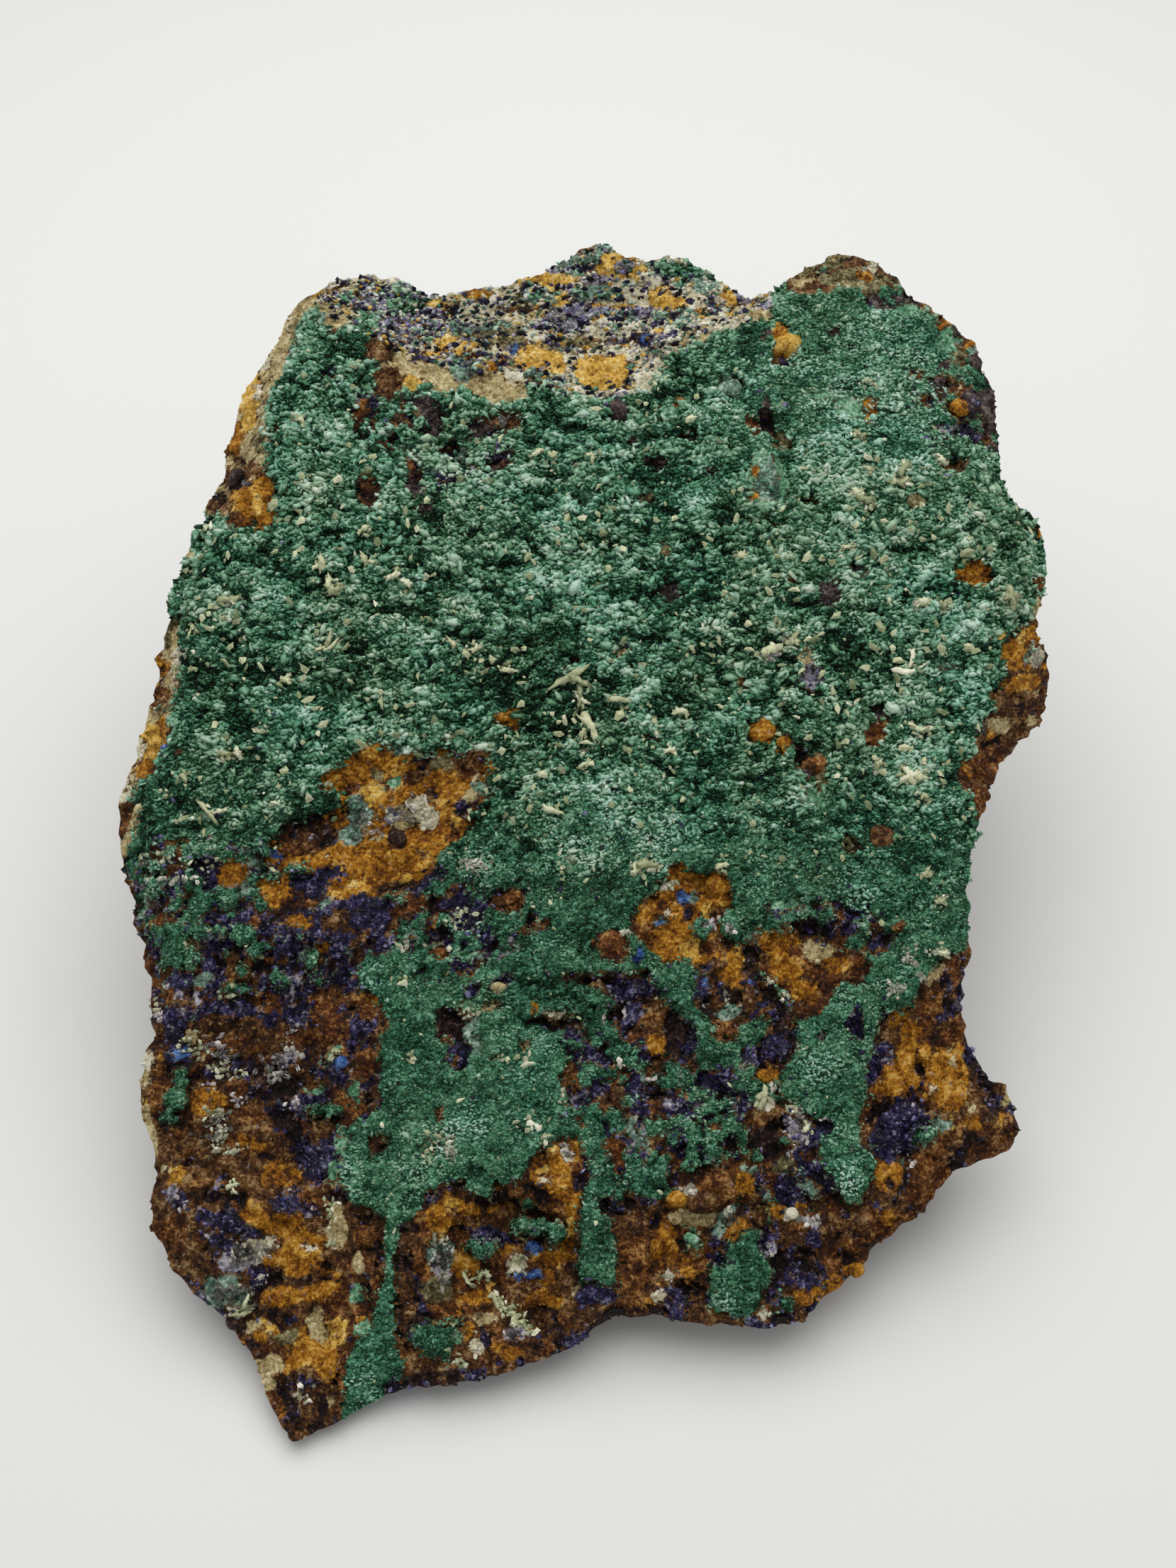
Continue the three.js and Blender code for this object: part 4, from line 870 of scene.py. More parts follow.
def wall_kinds(points):
    """Shares of each kind of rock on the broken walls, in drifting clouds of several sizes."""
    kinds = np.zeros((len(KINDS), len(points)))
    kinds[KINDS.index("brown")] = 1
    for name, size, seed, low in WALL_CLOUDS:
        paint(kinds, name, smooth(low, low + 0.12, cloud(points, size, seed, 4)))
    mottle(kinds, points, np.ones(len(points)))
    return dict(zip(KINDS, kinds))


def grid_cells():
    """The numbers of the face grid's points by row and column, and of the corners of its four-sided cells."""
    index = np.arange((FACE_ROWS + 1) * (FACE_COLUMNS + 1)).reshape(FACE_ROWS + 1, FACE_COLUMNS + 1)
    corners = [index[:-1, :-1], index[:-1, 1:], index[1:, 1:], index[1:, :-1]]
    return index, np.stack(corners, axis=-1).reshape(-1, 4)


def rim_order():
    """The face grid's rim, once round, counterclockwise from above, as places in the flat list of points."""
    index, _ = grid_cells()
    return np.concatenate([index[0, :-1], index[:-1, -1], index[-1, :0:-1], index[:0:-1, 0]])


def ring_quads(upper, lower):
    """Four-sided faces between two closed rings of points, the first ring above the second."""
    return np.stack([upper, lower, np.roll(lower, -1), np.roll(upper, -1)], axis=1)


def rock_faces(face_count, rim):
    """The rock's faces: the grid of the face, rings of wall, rings of base and the fan in its middle."""
    _, grid = grid_cells()
    rings = face_count + np.arange((WALL_RINGS + BASE_RINGS) * len(rim)).reshape(-1, len(rim))
    rings = np.concatenate([rim[None], rings])
    walls = [ring_quads(rings[i], rings[i + 1]) for i in range(len(rings) - 1)]
    last = rings[-1]
    fan = np.stack([last, np.full(len(last), last.max() + 1), np.roll(last, -1)], axis=1)
    return np.concatenate([grid] + walls), fan


def haze_share(u, v):
    """How much paler the crust is: up to 1 in the hazy spots, and below 0 in the shaded ones."""
    haze = np.zeros_like(u)
    for spot in HAZE_SPOTS:
        haze = np.maximum(haze, smooth(1.3, 0.3, ellipse_reach(u, v, *spot)))
    for spot in SHADE_SPOTS:
        haze = haze - 0.7 * smooth(1.3, 0.3, ellipse_reach(u, v, *spot))
    return haze


def face_form(u, v, rim):
    """Height of the face over its plane, and its kinds of rock.

    The height is the crust's less the depth of the open rock, blended to the rim's drop. The kinds depend on
    where the camera sees each place, and so on the height, which is why both are worked out twice.
    """
    gap, drop = rim_gap(u, v, rim)
    rim_share = 1 - smooth(0, RIM_FALLOFF + RIM_FALLOFF_PER_DROP * drop, gap)
    crust_height = swell(u, v) - SCOOP_DEPTH * (1 - (1 - scoop_run(u, v)) ** 1.6) - CRUST_INSET
    hollows = hollow_depth(u, v)
    w = crust_height * (1 - rim_share) - drop * rim_share
    for _ in range(2):
        kinds = face_kinds(u, v, w)
        raised = raised_height(u, v, w)
        open_rock = (1 - kinds["crust"]) * (1 - smooth(0, 0.1, scoop_run(u, v)))
        w = crust_height - open_rock * (1.2 + 0.8 * hollows) - 0.8 * kinds["dark"] * open_rock + raised
        w = w * (1 - rim_share) - drop * rim_share
    return w, kinds


def side_points(rim_points):
    """Points of the walls and the base, ring by ring from the rim to the middle of the base."""
    walls = wall_points(rim_points, np.arange(1, WALL_RINGS + 1) / WALL_RINGS)
    inward = np.arange(1, BASE_RINGS + 1)[:, None, None] / (BASE_RINGS + 1)
    middle = np.array([*BASE_MIDDLE, 0.0])
    base = walls[-1] * (1 - inward) + middle * inward
    return np.concatenate([walls.reshape(-1, 3), base.reshape(-1, 3), middle[None]])


def middle_shift(rim):
    """How far the stone moves to bring its rim to the middle of the solid model's box, and its base to 0."""
    places = place_on_face(rim[:, 0], rim[:, 1], -rim[:, 2])
    shift = (CAD_LOW + CAD_HIGH) / 2 - (places.min(axis=0) + places.max(axis=0)) / 2
    shift[2] = CAD_LOW[2]
    return shift


def inside_box(points):
    """The points, with any that stands outside the solid model's box brought back to its side."""
    return np.clip(points, CAD_LOW, CAD_HIGH)


@lru_cache(maxsize=1)
def rock():
    """The rock's surface: its points in mm, its faces, its shares of each kind, and the places of its face.

    The walls and the base follow the rim of the face. Then every point moves along its own normal by noise
    that depends on what it is made of.
    """
    grid, rim = face_grid()
    u, v = grid[..., 0].ravel(), grid[..., 1].ravel()
    w, kinds = face_form(u, v, rim)
    kinds["haze"] = haze_share(u, v)
    face = place_on_face(u, v, w)
    order = rim_order()
    others = side_points(face[order])
    points = np.concatenate([face, others])
    around = wall_kinds(others)
    for name, values in kinds.items():
        kinds[name] = np.concatenate([values, around.get(name, np.zeros(len(others)))])
    blend_rim_kinds(kinds, points, len(face), order)
    quads, fan = rock_faces(len(face), order)
    kinds["relief"] = rock_relief(points, kinds, len(face))
    # pit_shade is painted shade: it darkens places that lie below the mean height around them, less on the
    # scooped edge, and on the walls it comes from their deepest dips.
    pit_shades = pit_depth(w + kinds["relief"][:len(face)]) * (1 - 0.6 * smooth(0, 0.1, scoop_run(u, v)))
    kinds["pit_shade"] = np.concatenate([pit_shades, np.maximum(-kinds["relief"][len(face):] - 0.6, 0)])
    lift = kinds["relief"] * smooth(0.0, 3.0, points[:, 2])
    points = points + vertex_normals(points, quads, fan) * lift[:, None]
    points[:, 2] = np.maximum(points[:, 2], 0)
    shift = middle_shift(rim)
    points = inside_box(points + shift)
    return SimpleNamespace(
        points=points, normals=vertex_normals(points, quads, fan), quads=quads, fan=fan, kinds=kinds,
        u=u, v=v, w=w, shift=shift, face_points=points[:len(face)],
        face_kinds={name: values[:len(face)] for name, values in kinds.items()},
    )


def blend_rim_kinds(kinds, points, face_count, order):
    """Carries what the face's rim is made of a little way down the walls."""
    rings = np.arange(WALL_RINGS * len(order)).reshape(WALL_RINGS, len(order))
    below = points[order, 2][None] * (np.arange(1, WALL_RINGS + 1) / WALL_RINGS)[:, None]
    ragged = below + 2.0 * cloud(points[face_count + rings.ravel()], 5, 41, 2).reshape(rings.shape)
    share = smooth(5.0, 1.5, ragged)
    for values in kinds.values():
        wall = values[face_count + rings]
        values[face_count + rings] = values[order][None] * share + wall * (1 - share)


def vertex_normals(points, quads, fan):
    """Unit normals of the points, each the sum of its faces' area normals."""
    normals = np.zeros_like(points)
    for faces in (quads[:, [0, 1, 2]], quads[:, [0, 2, 3]], fan):
        a, b, c = (points[faces[:, i]] for i in range(3))
        area = np.cross(b - a, c - a)
        for i in range(3):
            for axis in range(3):
                normals[:, axis] += np.bincount(faces[:, i], area[:, axis], len(points))
    length = np.linalg.norm(normals, axis=1, keepdims=True)
    return normals / np.maximum(length, 1e-12)


def coarseness(points):
    """From 0 where the crust is fine velvet, towards the front, to 1 where it is clumpy, further up the face.

    It is low in the far right corner too.
    """
    fine_corner = smooth(40, 62, points[:, 1]) * smooth(12, 34, points[:, 0])
    return smooth(-24, 8, points[:, 1]) * (1 - 0.7 * fine_corner)


def pit_depth(height):
    """How far each place of the face lies below the mean height of the 1.6 mm around it, as in a pit.

    Each pass moves every height of the grid halfway to the mean of its four neighbours.
    """
    grid = height.reshape(FACE_ROWS + 1, FACE_COLUMNS + 1)
    mean = grid
    for _ in range(PIT_PASSES):
        wide = np.pad(mean, 1, mode="edge")
        mean = mean / 2 + (wide[:-2, 1:-1] + wide[2:, 1:-1] + wide[1:-1, :-2] + wide[1:-1, 2:]) / 8
    return np.maximum(mean - grid, 0).ravel()


def rock_relief(points, kinds, face_count):
    """Fine relief in mm: round clumps on the crust, lower where it is fine, and sharp ridges on open rock."""
    crust = kinds["crust"] * (0.5 + 0.6 * coarseness(points))
    wide = points * [0.72, 1.15, 1.15]  # the clumps are wider than they are long
    clumps = 1.1 * (lumps(wide, 2.0, 51) - 0.45) + 0.7 * cloud(wide, 2.8, 58, 3)
    clumps = clumps + 0.45 * cloud(points, 7, 56, 2)
    ridges = 0.8 - 2.6 * np.abs(cloud(points, 6.5, 52, 3)) + 0.8 * (lumps(points, 2.8, 53) - 0.5)
    ridges = ridges + 0.4 * cloud(points, 1.6, 54, 2) - 0.5 * kinds["dark"]
    ridges = ridges * (1 - 0.6 * kinds["tan"])
    relief = clumps * crust + ridges * (1 - kinds["crust"])
    relief[face_count:] -= 0.5
    return relief


# Meshes and materials

def add_mesh(name, points, faces, values, material, smooth_shading=False):
    """Makes a piece of the body from points in mm, arrays of faces and named values for each point."""
    mesh = bpy.data.meshes.new(name)
    mesh.vertices.add(len(points))
    mesh.vertices.foreach_set("co", (points * MM).astype(np.float32).ravel())
    corners = np.concatenate([part.ravel() for part in faces])
    sizes = np.concatenate([np.full(len(part), part.shape[1]) for part in faces])
    mesh.loops.add(len(corners))
    mesh.loops.foreach_set("vertex_index", corners.astype(np.int32))
    mesh.polygons.add(len(sizes))
    mesh.polygons.foreach_set("loop_start", (sizes.cumsum() - sizes).astype(np.int32))
    mesh.polygons.foreach_set("use_smooth", np.full(len(sizes), smooth_shading))
    for key, data in values.items():
        attribute = mesh.attributes.new(key, "FLOAT", "POINT")
        attribute.data.foreach_set("value", data.astype(np.float32))
    mesh.update(calc_edges=True)
    mesh.materials.append(material)
    piece = bpy.data.objects.new(name, mesh)
    bpy.context.scene.collection.objects.link(piece)
    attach(piece, BODY)
    return piece


def add_node(tree, kind, inputs=None, output=0, stops=None, **settings):
    """Adds a node and returns one of its outputs, by name or number, or None where it has no output.

    inputs gives sockets, by name or number, a value or another node's output to link. stops fills a colour
    ramp with (position, colour) pairs, and each colour is a hex text or a linear one.
    """
    node = tree.nodes.new("ShaderNode" + kind)
    for name, value in settings.items():
        setattr(node, name, value)
    for key, value in (inputs or {}).items():
        if isinstance(value, bpy.types.NodeSocket):
            tree.links.new(value, node.inputs[key])
        else:
            node.inputs[key].default_value = value
    for i, (position, tint) in enumerate(stops or ()):
        element = node.color_ramp.elements[i] if i < 2 else node.color_ramp.elements.new(position)
        element.position = position
        element.color = colour(tint) if isinstance(tint, str) else (*tint[:3], 1.0)
    return node.outputs[output] if node.outputs else None


def new_material(name):
    """A material with an empty node tree, and that tree."""
    material = bpy.data.materials.new(name)
    material.use_nodes = True
    material.node_tree.nodes.clear()
    return material, material.node_tree


def finish_material(tree, inputs):
    """Ends a material in a Principled shader with the given sockets."""
    shader = add_node(tree, "BsdfPrincipled", inputs)
    add_node(tree, "OutputMaterial", {"Surface": shader})


# Colours of each kind of rock from dark to light along its noisy grain, which the relief shifts: dips are
# painted darker and crests lighter, as painted shade and light. Plain brown isn't among them: its colours lie
# beneath them all
KIND_COLOURS = {
    "crust": ["#04190d", "#194830", "#4a8663", "#8ab99b"],
    "rust": ["#160802", "#431f07", "#774615", "#ba8c54"],
    "olive": ["#28220f", "#5a5030", "#8a8258", "#bcb48c"],
    "tan": ["#645432", "#a89464", "#cebc8a", "#ece0bc"],
    "ochre": ["#351a04", "#854f09", "#bc8018", "#e2b660"],
    "dark": ["#080304", "#1c0f0c", "#3a221b", "#6c5448"],
    "plum": ["#120c0e", "#2e2426", "#544644", "#8a7c76"],
    "violet": ["#030207", "#120d26", "#373057", "#8b86a4"],
    "sage": ["#27362d", "#566c5d", "#88a692", "#c8daca"],
    "lilac": ["#3a363c", "#7c7680", "#b0aab4", "#e2dee2"],
    "cream": ["#8c8268", "#cac09c", "#e8e0c4", "#f9f6ea"],
    "gold": ["#74501f", "#c4953c", "#e8bc54", "#f6e0a0"],
    "mint": ["#28503a", "#588e68", "#88ba94", "#c4e0c8"],
    "blue": ["#12224a", "#284a86", "#5478b2", "#9cb6d6"],
}


def broken_limonite():
    """Limonite and iron-stained quartz, freshly broken, with films of malachite and azurite.

    To the eye it is an earthy brown, with ochre, rust and violet in grainy, ragged patches and hardly any
    gloss.
    """
    tints = bpy.context.scene.specimen_colours
    material, tree = new_material("limonite_broken_earthy")
    place = add_node(tree, "TexCoord", output="Object")
    fine = add_node(tree, "TexNoise", {
        "Vector": place, "Scale": 1 / (0.6 * MM), "Detail": 4.0, "Roughness": 0.75,
    })
    coarse = add_node(tree, "TexNoise", {
        "Vector": place, "Scale": 1 / (2.6 * MM), "Detail": 3.0, "Roughness": 0.7,
    })
    grain = add_node(tree, "Mix", {0: 0.45, 2: fine, 3: coarse}, 0, data_type="FLOAT")
    grain = add_node(tree, "MapRange", {"Value": grain, "From Min": 0.38, "From Max": 0.62})
    # Painted light and shade: the relief moves the colour lighter on crests and darker in dips.
    crest = add_node(tree, "Attribute", output="Fac", attribute_name="relief")
    grain = add_node(tree, "Math", {0: crest, 1: 0.2, 2: grain}, operation="MULTIPLY_ADD", use_clamp=True)
    ragged = add_node(tree, "TexNoise", {
        "Vector": place, "Scale": 1 / (0.9 * MM), "Detail": 3.0, "Roughness": 0.7,
    })
    ragged = add_node(tree, "MapRange", {
        "Value": ragged, "From Min": 0.3, "From Max": 0.7, "To Min": -0.35, "To Max": 0.35,
    })
    painted = add_node(tree, "ValToRGB", {"Fac": grain}, stops=[
        (0.0, tints.matrix_dark), (0.4, tints.matrix_brown), (0.7, "#6e461e"), (1.0, "#a88a5e"),
    ])
    for name, hexes in KIND_COLOURS.items():
        share = add_node(tree, "Attribute", output="Fac", attribute_name=name)
        share = add_node(tree, "Math", {0: share, 1: ragged}, operation="ADD")
        share = add_node(tree, "MapRange", {"Value": share, "From Min": 0.38, "From Max": 0.62})
        over = add_node(tree, "ValToRGB", {"Fac": grain}, stops=list(zip((0.0, 0.38, 0.7, 1.0), hexes)))
        painted = add_node(tree, "Mix", {0: share, 6: painted, 7: over}, 2, data_type="RGBA")
    glint = add_node(tree, "TexNoise", {
        "Vector": place, "Scale": 1 / (0.8 * MM), "Detail": 1.0, "Distortion": 0.5,
    })
    glint = add_node(tree, "MapRange", {"Value": glint, "From Min": 0.69, "From Max": 0.77, "To Max": 0.55})
    painted = add_node(tree, "Mix", {0: glint, 6: painted, 7: colour("#a89a92")}, 2, data_type="RGBA")
    # Painted shade: the colour darkens towards near black in pits and beside the higher crust.
    pit_shade = add_node(tree, "Attribute", output="Fac", attribute_name="pit_shade")
    pit_shade = add_node(tree, "MapRange", {"Value": pit_shade, "From Min": 0.25, "From Max": 1.3, "To Max": 0.7})
    painted = add_node(tree, "Mix", {0: pit_shade, 6: painted, 7: colour("#0c0604")}, 2, data_type="RGBA")
    bump = add_node(tree, "Bump", {"Height": fine, "Distance": 0.5 * MM, "Strength": 1.0})
    dull = add_node(tree, "MapRange", {
        "Value": fine, "From Min": 0.35, "From Max": 0.65, "To Min": 0.85, "To Max": 0.5,
    })
    finish_material(tree, {
        "Base Color": painted, "Roughness": dull, "Normal": bump, "IOR": 1.55, "Specular IOR Level": 0.2,
    })
    return material


def velvet_malachite():
    """Malachite crust of velvety needle tufts: painted shade between them, and mint tips, partly painted
    sheen.

    The green drifts from a cool blue-green to a warmer grey-green.
    """
    tints = bpy.context.scene.specimen_colours
    material, tree = new_material("malachite_velvet_tufts")
    place = add_node(tree, "TexCoord", output="Object")
    tone = add_node(tree, "Attribute", output="Fac", attribute_name="tone")
    foot_shade_tip_sheen = add_node(tree, "Attribute", output="Fac", attribute_name="foot_shade_tip_sheen")
    warmth = add_node(tree, "Attribute", output="Fac", attribute_name="warmth")
    fibre = add_node(tree, "TexNoise", {
        "Vector": place, "Scale": 1 / (0.4 * MM), "Detail": 3.0, "Roughness": 0.75,
    })
    light = add_node(tree, "Math", {0: foot_shade_tip_sheen, 1: 0.24, 2: tone}, operation="MULTIPLY_ADD")
    light = add_node(tree, "Math", {0: fibre, 1: 0.8, 2: light}, operation="MULTIPLY_ADD")
    # In both ramps the darkest stops are painted shade between the tufts and at their feet, and the lightest
    # partly painted sheen.
    cool = add_node(tree, "ValToRGB", {"Fac": light}, stops=[
        (0.22, tints.malachite_crevice_shade), (0.38, "#184630"), (0.55, tints.malachite_body), (0.74, "#99c9af"),
        (0.98, tints.malachite_tip),
    ])
    warm = add_node(tree, "ValToRGB", {"Fac": light}, stops=[
        (0.22, "#061507"), (0.38, "#254a2c"), (0.55, "#6f9a75"), (0.74, "#afcbab"), (0.98, "#e4ecd4"),
    ])
    tint = add_node(tree, "Mix", {0: warmth, 6: cool, 7: warm}, 2, data_type="RGBA")
    bump = add_node(tree, "Bump", {"Height": fibre, "Distance": 0.3 * MM, "Strength": 1.0})
    finish_material(tree, {"Base Color": tint, "Roughness": 0.7, "Normal": bump, "Specular IOR Level": 0.15})
    return material


def glassy_azurite():
    """Azurite in small crystals: nearly black violet, with glassy facets that catch lilac-grey glints."""
    tints = bpy.context.scene.specimen_colours
    material, tree = new_material("azurite_glassy_crystals")
    place = add_node(tree, "TexCoord", output="Object")
    tone = add_node(tree, "Attribute", output="Fac", attribute_name="tone")
    grain = add_node(tree, "TexNoise", {"Vector": place, "Scale": 1 / (0.5 * MM), "Detail": 2.0})
    light = add_node(tree, "Math", {0: grain, 1: 0.5, 2: tone}, operation="MULTIPLY_ADD")
    tint = add_node(tree, "ValToRGB", {"Fac": light}, stops=[
        (0.2, "#040209"), (0.45, tints.azurite), (0.7, "#322a5c"), (1.0, "#8c88b0"),
    ])
    finish_material(tree, {"Base Color": tint, "Roughness": 0.3, "IOR": 1.73, "Specular IOR Level": 0.4})
    return material


def chalky_flecks():
    """Cerussite and calcite in worms and grains: chalky cream to pinkish white, a little waxy at the rims."""
    tints = bpy.context.scene.specimen_colours
    material, tree = new_material("carbonate_cream_chalky")
    place = add_node(tree, "TexCoord", output="Object")
    tone = add_node(tree, "Attribute", output="Fac", attribute_name="tone")
    blush = add_node(tree, "Attribute", output="Fac", attribute_name="blush")
    grain = add_node(tree, "TexNoise", {
        "Vector": place, "Scale": 1 / (0.5 * MM), "Detail": 3.0, "Roughness": 0.6,
    })
    light = add_node(tree, "Math", {0: grain, 1: 0.5, 2: tone}, operation="MULTIPLY_ADD")
    cream = add_node(tree, "ValToRGB", {"Fac": light}, stops=[
        (0.3, "#727f58"), (0.5, "#a4aa7e"), (0.75, tints.cream_fleck), (1.0, "#f2eed2"),
    ])
    pink = add_node(tree, "ValToRGB", {"Fac": light}, stops=[
        (0.3, "#5d5458"), (0.55, "#9c9296"), (0.8, "#ccc2be"), (1.0, "#f2eae4"),
    ])
    tint = add_node(tree, "Mix", {0: blush, 6: cream, 7: pink}, 2, data_type="RGBA")
    bump = add_node(tree, "Bump", {"Height": grain, "Distance": 0.12 * MM, "Strength": 0.7})
    finish_material(tree, {
        "Base Color": tint, "Roughness": 0.55, "Normal": bump, "IOR": 1.6, "Specular IOR Level": 0.4,
    })
    return material


def clear_quartz():
    """Quartz in small clear prisms: see-through with bright rims, and very slightly smoky."""
    material, tree = new_material("quartz_clear_glassy")
    place = add_node(tree, "TexCoord", output="Object")
    veil = add_node(tree, "TexNoise", {"Vector": place, "Scale": 1 / (0.8 * MM), "Detail": 3.0})
    tint = add_node(tree, "ValToRGB", {"Fac": veil}, stops=[(0.35, "#d5d2c6"), (0.65, "#fbfaf6")])
    rough = add_node(tree, "MapRange", {
        "Value": veil, "From Min": 0.35, "From Max": 0.65, "To Min": 0.3, "To Max": 0.05,
    })
    finish_material(tree, {"Base Color": tint, "Roughness": rough, "IOR": 1.544, "Transmission Weight": 1.0})
    return material


# Grains laid on the rock

RING = np.arange(5) / 5 * 2 * math.pi
TUFT_RING = np.stack([np.cos(RING), np.sin(RING), 0.1 * np.cos(2 * RING)], axis=1)
TUFT = np.concatenate([[(0, 0, 1)], TUFT_RING, [(0, 0, -1)]])
TUFT_FACES = np.array([
    (0, 1, 2), (0, 2, 3), (0, 3, 4), (0, 4, 5), (0, 5, 1), (6, 2, 1), (6, 3, 2), (6, 4, 3), (6, 5, 4),
    (6, 1, 5),
])
OCTAHEDRON = np.array([(0, 0, 1), (1, 0, 0), (0, 1, 0), (-1, 0, 0), (0, -1, 0), (0, 0, -1)], float)
OCTAHEDRON_FACES = np.array([
    (0, 1, 2), (0, 2, 3), (0, 3, 4), (0, 4, 1), (2, 1, 5), (3, 2, 5), (4, 3, 5), (1, 4, 5),
])

HEXAGON = np.arange(6) / 6 * 2 * math.pi
HEXAGON_RING = np.stack([np.zeros(6), 0.42 * np.cos(HEXAGON), 0.42 * np.sin(HEXAGON)], axis=1)
PRISM = np.concatenate([[(-1, 0, 0)], HEXAGON_RING + (-0.55, 0, 0), HEXAGON_RING + (0.55, 0, 0), [(1, 0, 0)]])
PRISM_FACES = np.array([
    (0, 2, 1), (0, 3, 2), (0, 4, 3), (0, 5, 4), (0, 6, 5), (0, 1, 6),
    (13, 7, 8), (13, 8, 9), (13, 9, 10), (13, 10, 11), (13, 11, 12), (13, 12, 7),
    (1, 2, 8), (1, 8, 7), (2, 3, 9), (2, 9, 8), (3, 4, 10), (3, 10, 9),
    (4, 5, 11), (4, 11, 10), (5, 6, 12), (5, 12, 11), (6, 1, 7), (6, 7, 12),
])

TUFT_BANDS = [-130, -8, 30, 66, 130]  # the crust is shared out between pieces at these heights up the face


def scatter(density, seed):
    """Random places on the face: in each cell of its grid, as many as its area times the density there.

    density is in grains for each square millimetre, one number for each point of the face.
    """
    stone = rock()
    random = np.random.default_rng(seed)
    _, corners = grid_cells()
    diagonals = stone.points[corners[:, 2]] - stone.points[corners[:, 0]]
    others = stone.points[corners[:, 3]] - stone.points[corners[:, 1]]
    area = np.linalg.norm(np.cross(diagonals, others), axis=1) / 2
    wanted = area * density[corners].mean(axis=1) + random.random(len(corners))
    cell = np.repeat(np.arange(len(corners)), np.floor(wanted).astype(int))
    across, up = random.random((2, len(cell)))
    weights = np.stack([(1 - across) * (1 - up), across * (1 - up), across * up, (1 - across) * up], axis=1)
    return grain_frame(corners[cell], weights, random)


def grain_frame(corners, weights, random):
    """Places, outward normals and the rock's kinds at blends of the rock's points."""
    stone = rock()
    if len(corners) == 0:
        raise RuntimeError("No grain found a place on the rock")
    normal = (stone.normals[corners] * weights[..., None]).sum(axis=1)
    return SimpleNamespace(
        place=(stone.points[corners] * weights[..., None]).sum(axis=1),
        normal=normal / np.linalg.norm(normal, axis=1, keepdims=True),
        kinds={name: (values[corners] * weights).sum(axis=1) for name, values in stone.kinds.items()},
        u=(stone.u[corners] * weights).sum(axis=1),
        v=(stone.v[corners] * weights).sum(axis=1),
        random=random,
        count=len(corners),
    )


def near(spots, seed):
    """The rock's places that the camera sees nearest to spots given by (u, v)."""
    stone = rock()
    seen_u, seen_v = seen_from_camera(stone.u, stone.v, stone.w)
    found = np.array([np.argmin((seen_u - u) ** 2 + (seen_v - v) ** 2) for u, v in np.array(spots, float)])
    return grain_frame(found[:, None], np.ones((len(found), 1)), np.random.default_rng(seed))


def axes_on(grains, turn):
    """Along, side and outward axes of each grain, turned in the surface by an angle from the stone's X."""
    along = np.array([1.0, 0, 0]) - grains.normal * grains.normal[:, :1]
    along = along / np.linalg.norm(along, axis=1, keepdims=True)
    side = np.cross(grains.normal, along)
    cosine, sine = np.cos(turn)[:, None], np.sin(turn)[:, None]
    return along * cosine + side * sine, side * cosine - along * sine, grains.normal


def copies(form, form_faces, place, axes, sizes, random, rough=0.2, bend=0.0):
    """Copies of a form of unit size, each with its own place, axes and half sizes in mm.

    Each corner of each copy also moves in or out by up to the rough share, and the middle of each copy moves
    sideways by the bend share of its half length. Returns points and faces.
    """
    count = len(place)
    shapes = form[None] * (1 + rough * (random.random((count, len(form), 1)) * 2 - 1))
    shapes = shapes * sizes[:, None, :]
    bow = bend * random.uniform(-1, 1, (count, 1)) * sizes[:, :1]
    shapes[..., 1] += bow * (1 - form[:, 0] ** 2)
    points = place[:, None] + sum(shapes[..., i, None] * axes[i][:, None] for i in range(3))
    faces = form_faces[None] + (np.arange(count) * len(form))[:, None, None]
    return points.reshape(-1, 3), faces.reshape(-1, form_faces.shape[1])


def add_grains(name, form, form_faces, grains, sizes, turn, lift, values, material, slot_name, **options):
    """Makes one piece of many copies of a form on the rock, lift mm above it.

    values has a number for each grain. The options are rough and bend, as copies takes them, smooth, for
    smooth shading, and contrast, which is how much lighter each grain's tip is than its foot, as painted
    shade at the foot and painted sheen at the tip.
    """
    axes = axes_on(grains, turn)
    place = grains.place + grains.normal * lift[:, None]
    rough, bend = options.get("rough", 0.2), options.get("bend", 0.0)
    points, faces = copies(form, form_faces, place, axes, sizes, grains.random, rough, bend)
    values = {key: np.repeat(data, len(form)) for key, data in values.items()}
    # Painted shade and sheen: each grain's colour runs from dark at its foot to light at its tip.
    values["foot_shade_tip_sheen"] = (np.outer(options.get("contrast", np.ones(grains.count)), form[:, 2] * 0.5) + 0.5).ravel()
    shading = options.get("smooth", False)
    return add_mesh(name, inside_box(points), [faces], values, material, shading)


def tube_form(stations, sides):
    """A closed tube of unit half length along X: rings that shrink towards its ends, and a point at each."""
    along = np.linspace(-1, 1, stations)
    radius = 1 - 0.35 * np.abs(along) ** 4
    angle = np.arange(sides) / sides * 2 * math.pi
    ring = np.stack([
        np.repeat(along, sides), np.outer(radius, np.cos(angle)).ravel(),
        np.outer(radius, np.sin(angle)).ravel(),
    ], axis=1)
    points = np.concatenate([ring, [(-1.08, 0, 0), (1.08, 0, 0)]])
    faces = []
    for i in range(stations - 1):
        first = i * sides + np.arange(sides)
        following = np.roll(first, -1)
        faces.append(np.stack([first, following, first + sides], axis=1))
        faces.append(np.stack([following, following + sides, first + sides], axis=1))
    start, end = np.arange(sides), (stations - 1) * sides + np.arange(sides)
    faces.append(np.stack([np.full(sides, len(ring)), np.roll(start, -1), start], axis=1))
    faces.append(np.stack([np.full(sides, len(ring) + 1), end, np.roll(end, -1)], axis=1))
    return points, np.concatenate(faces)


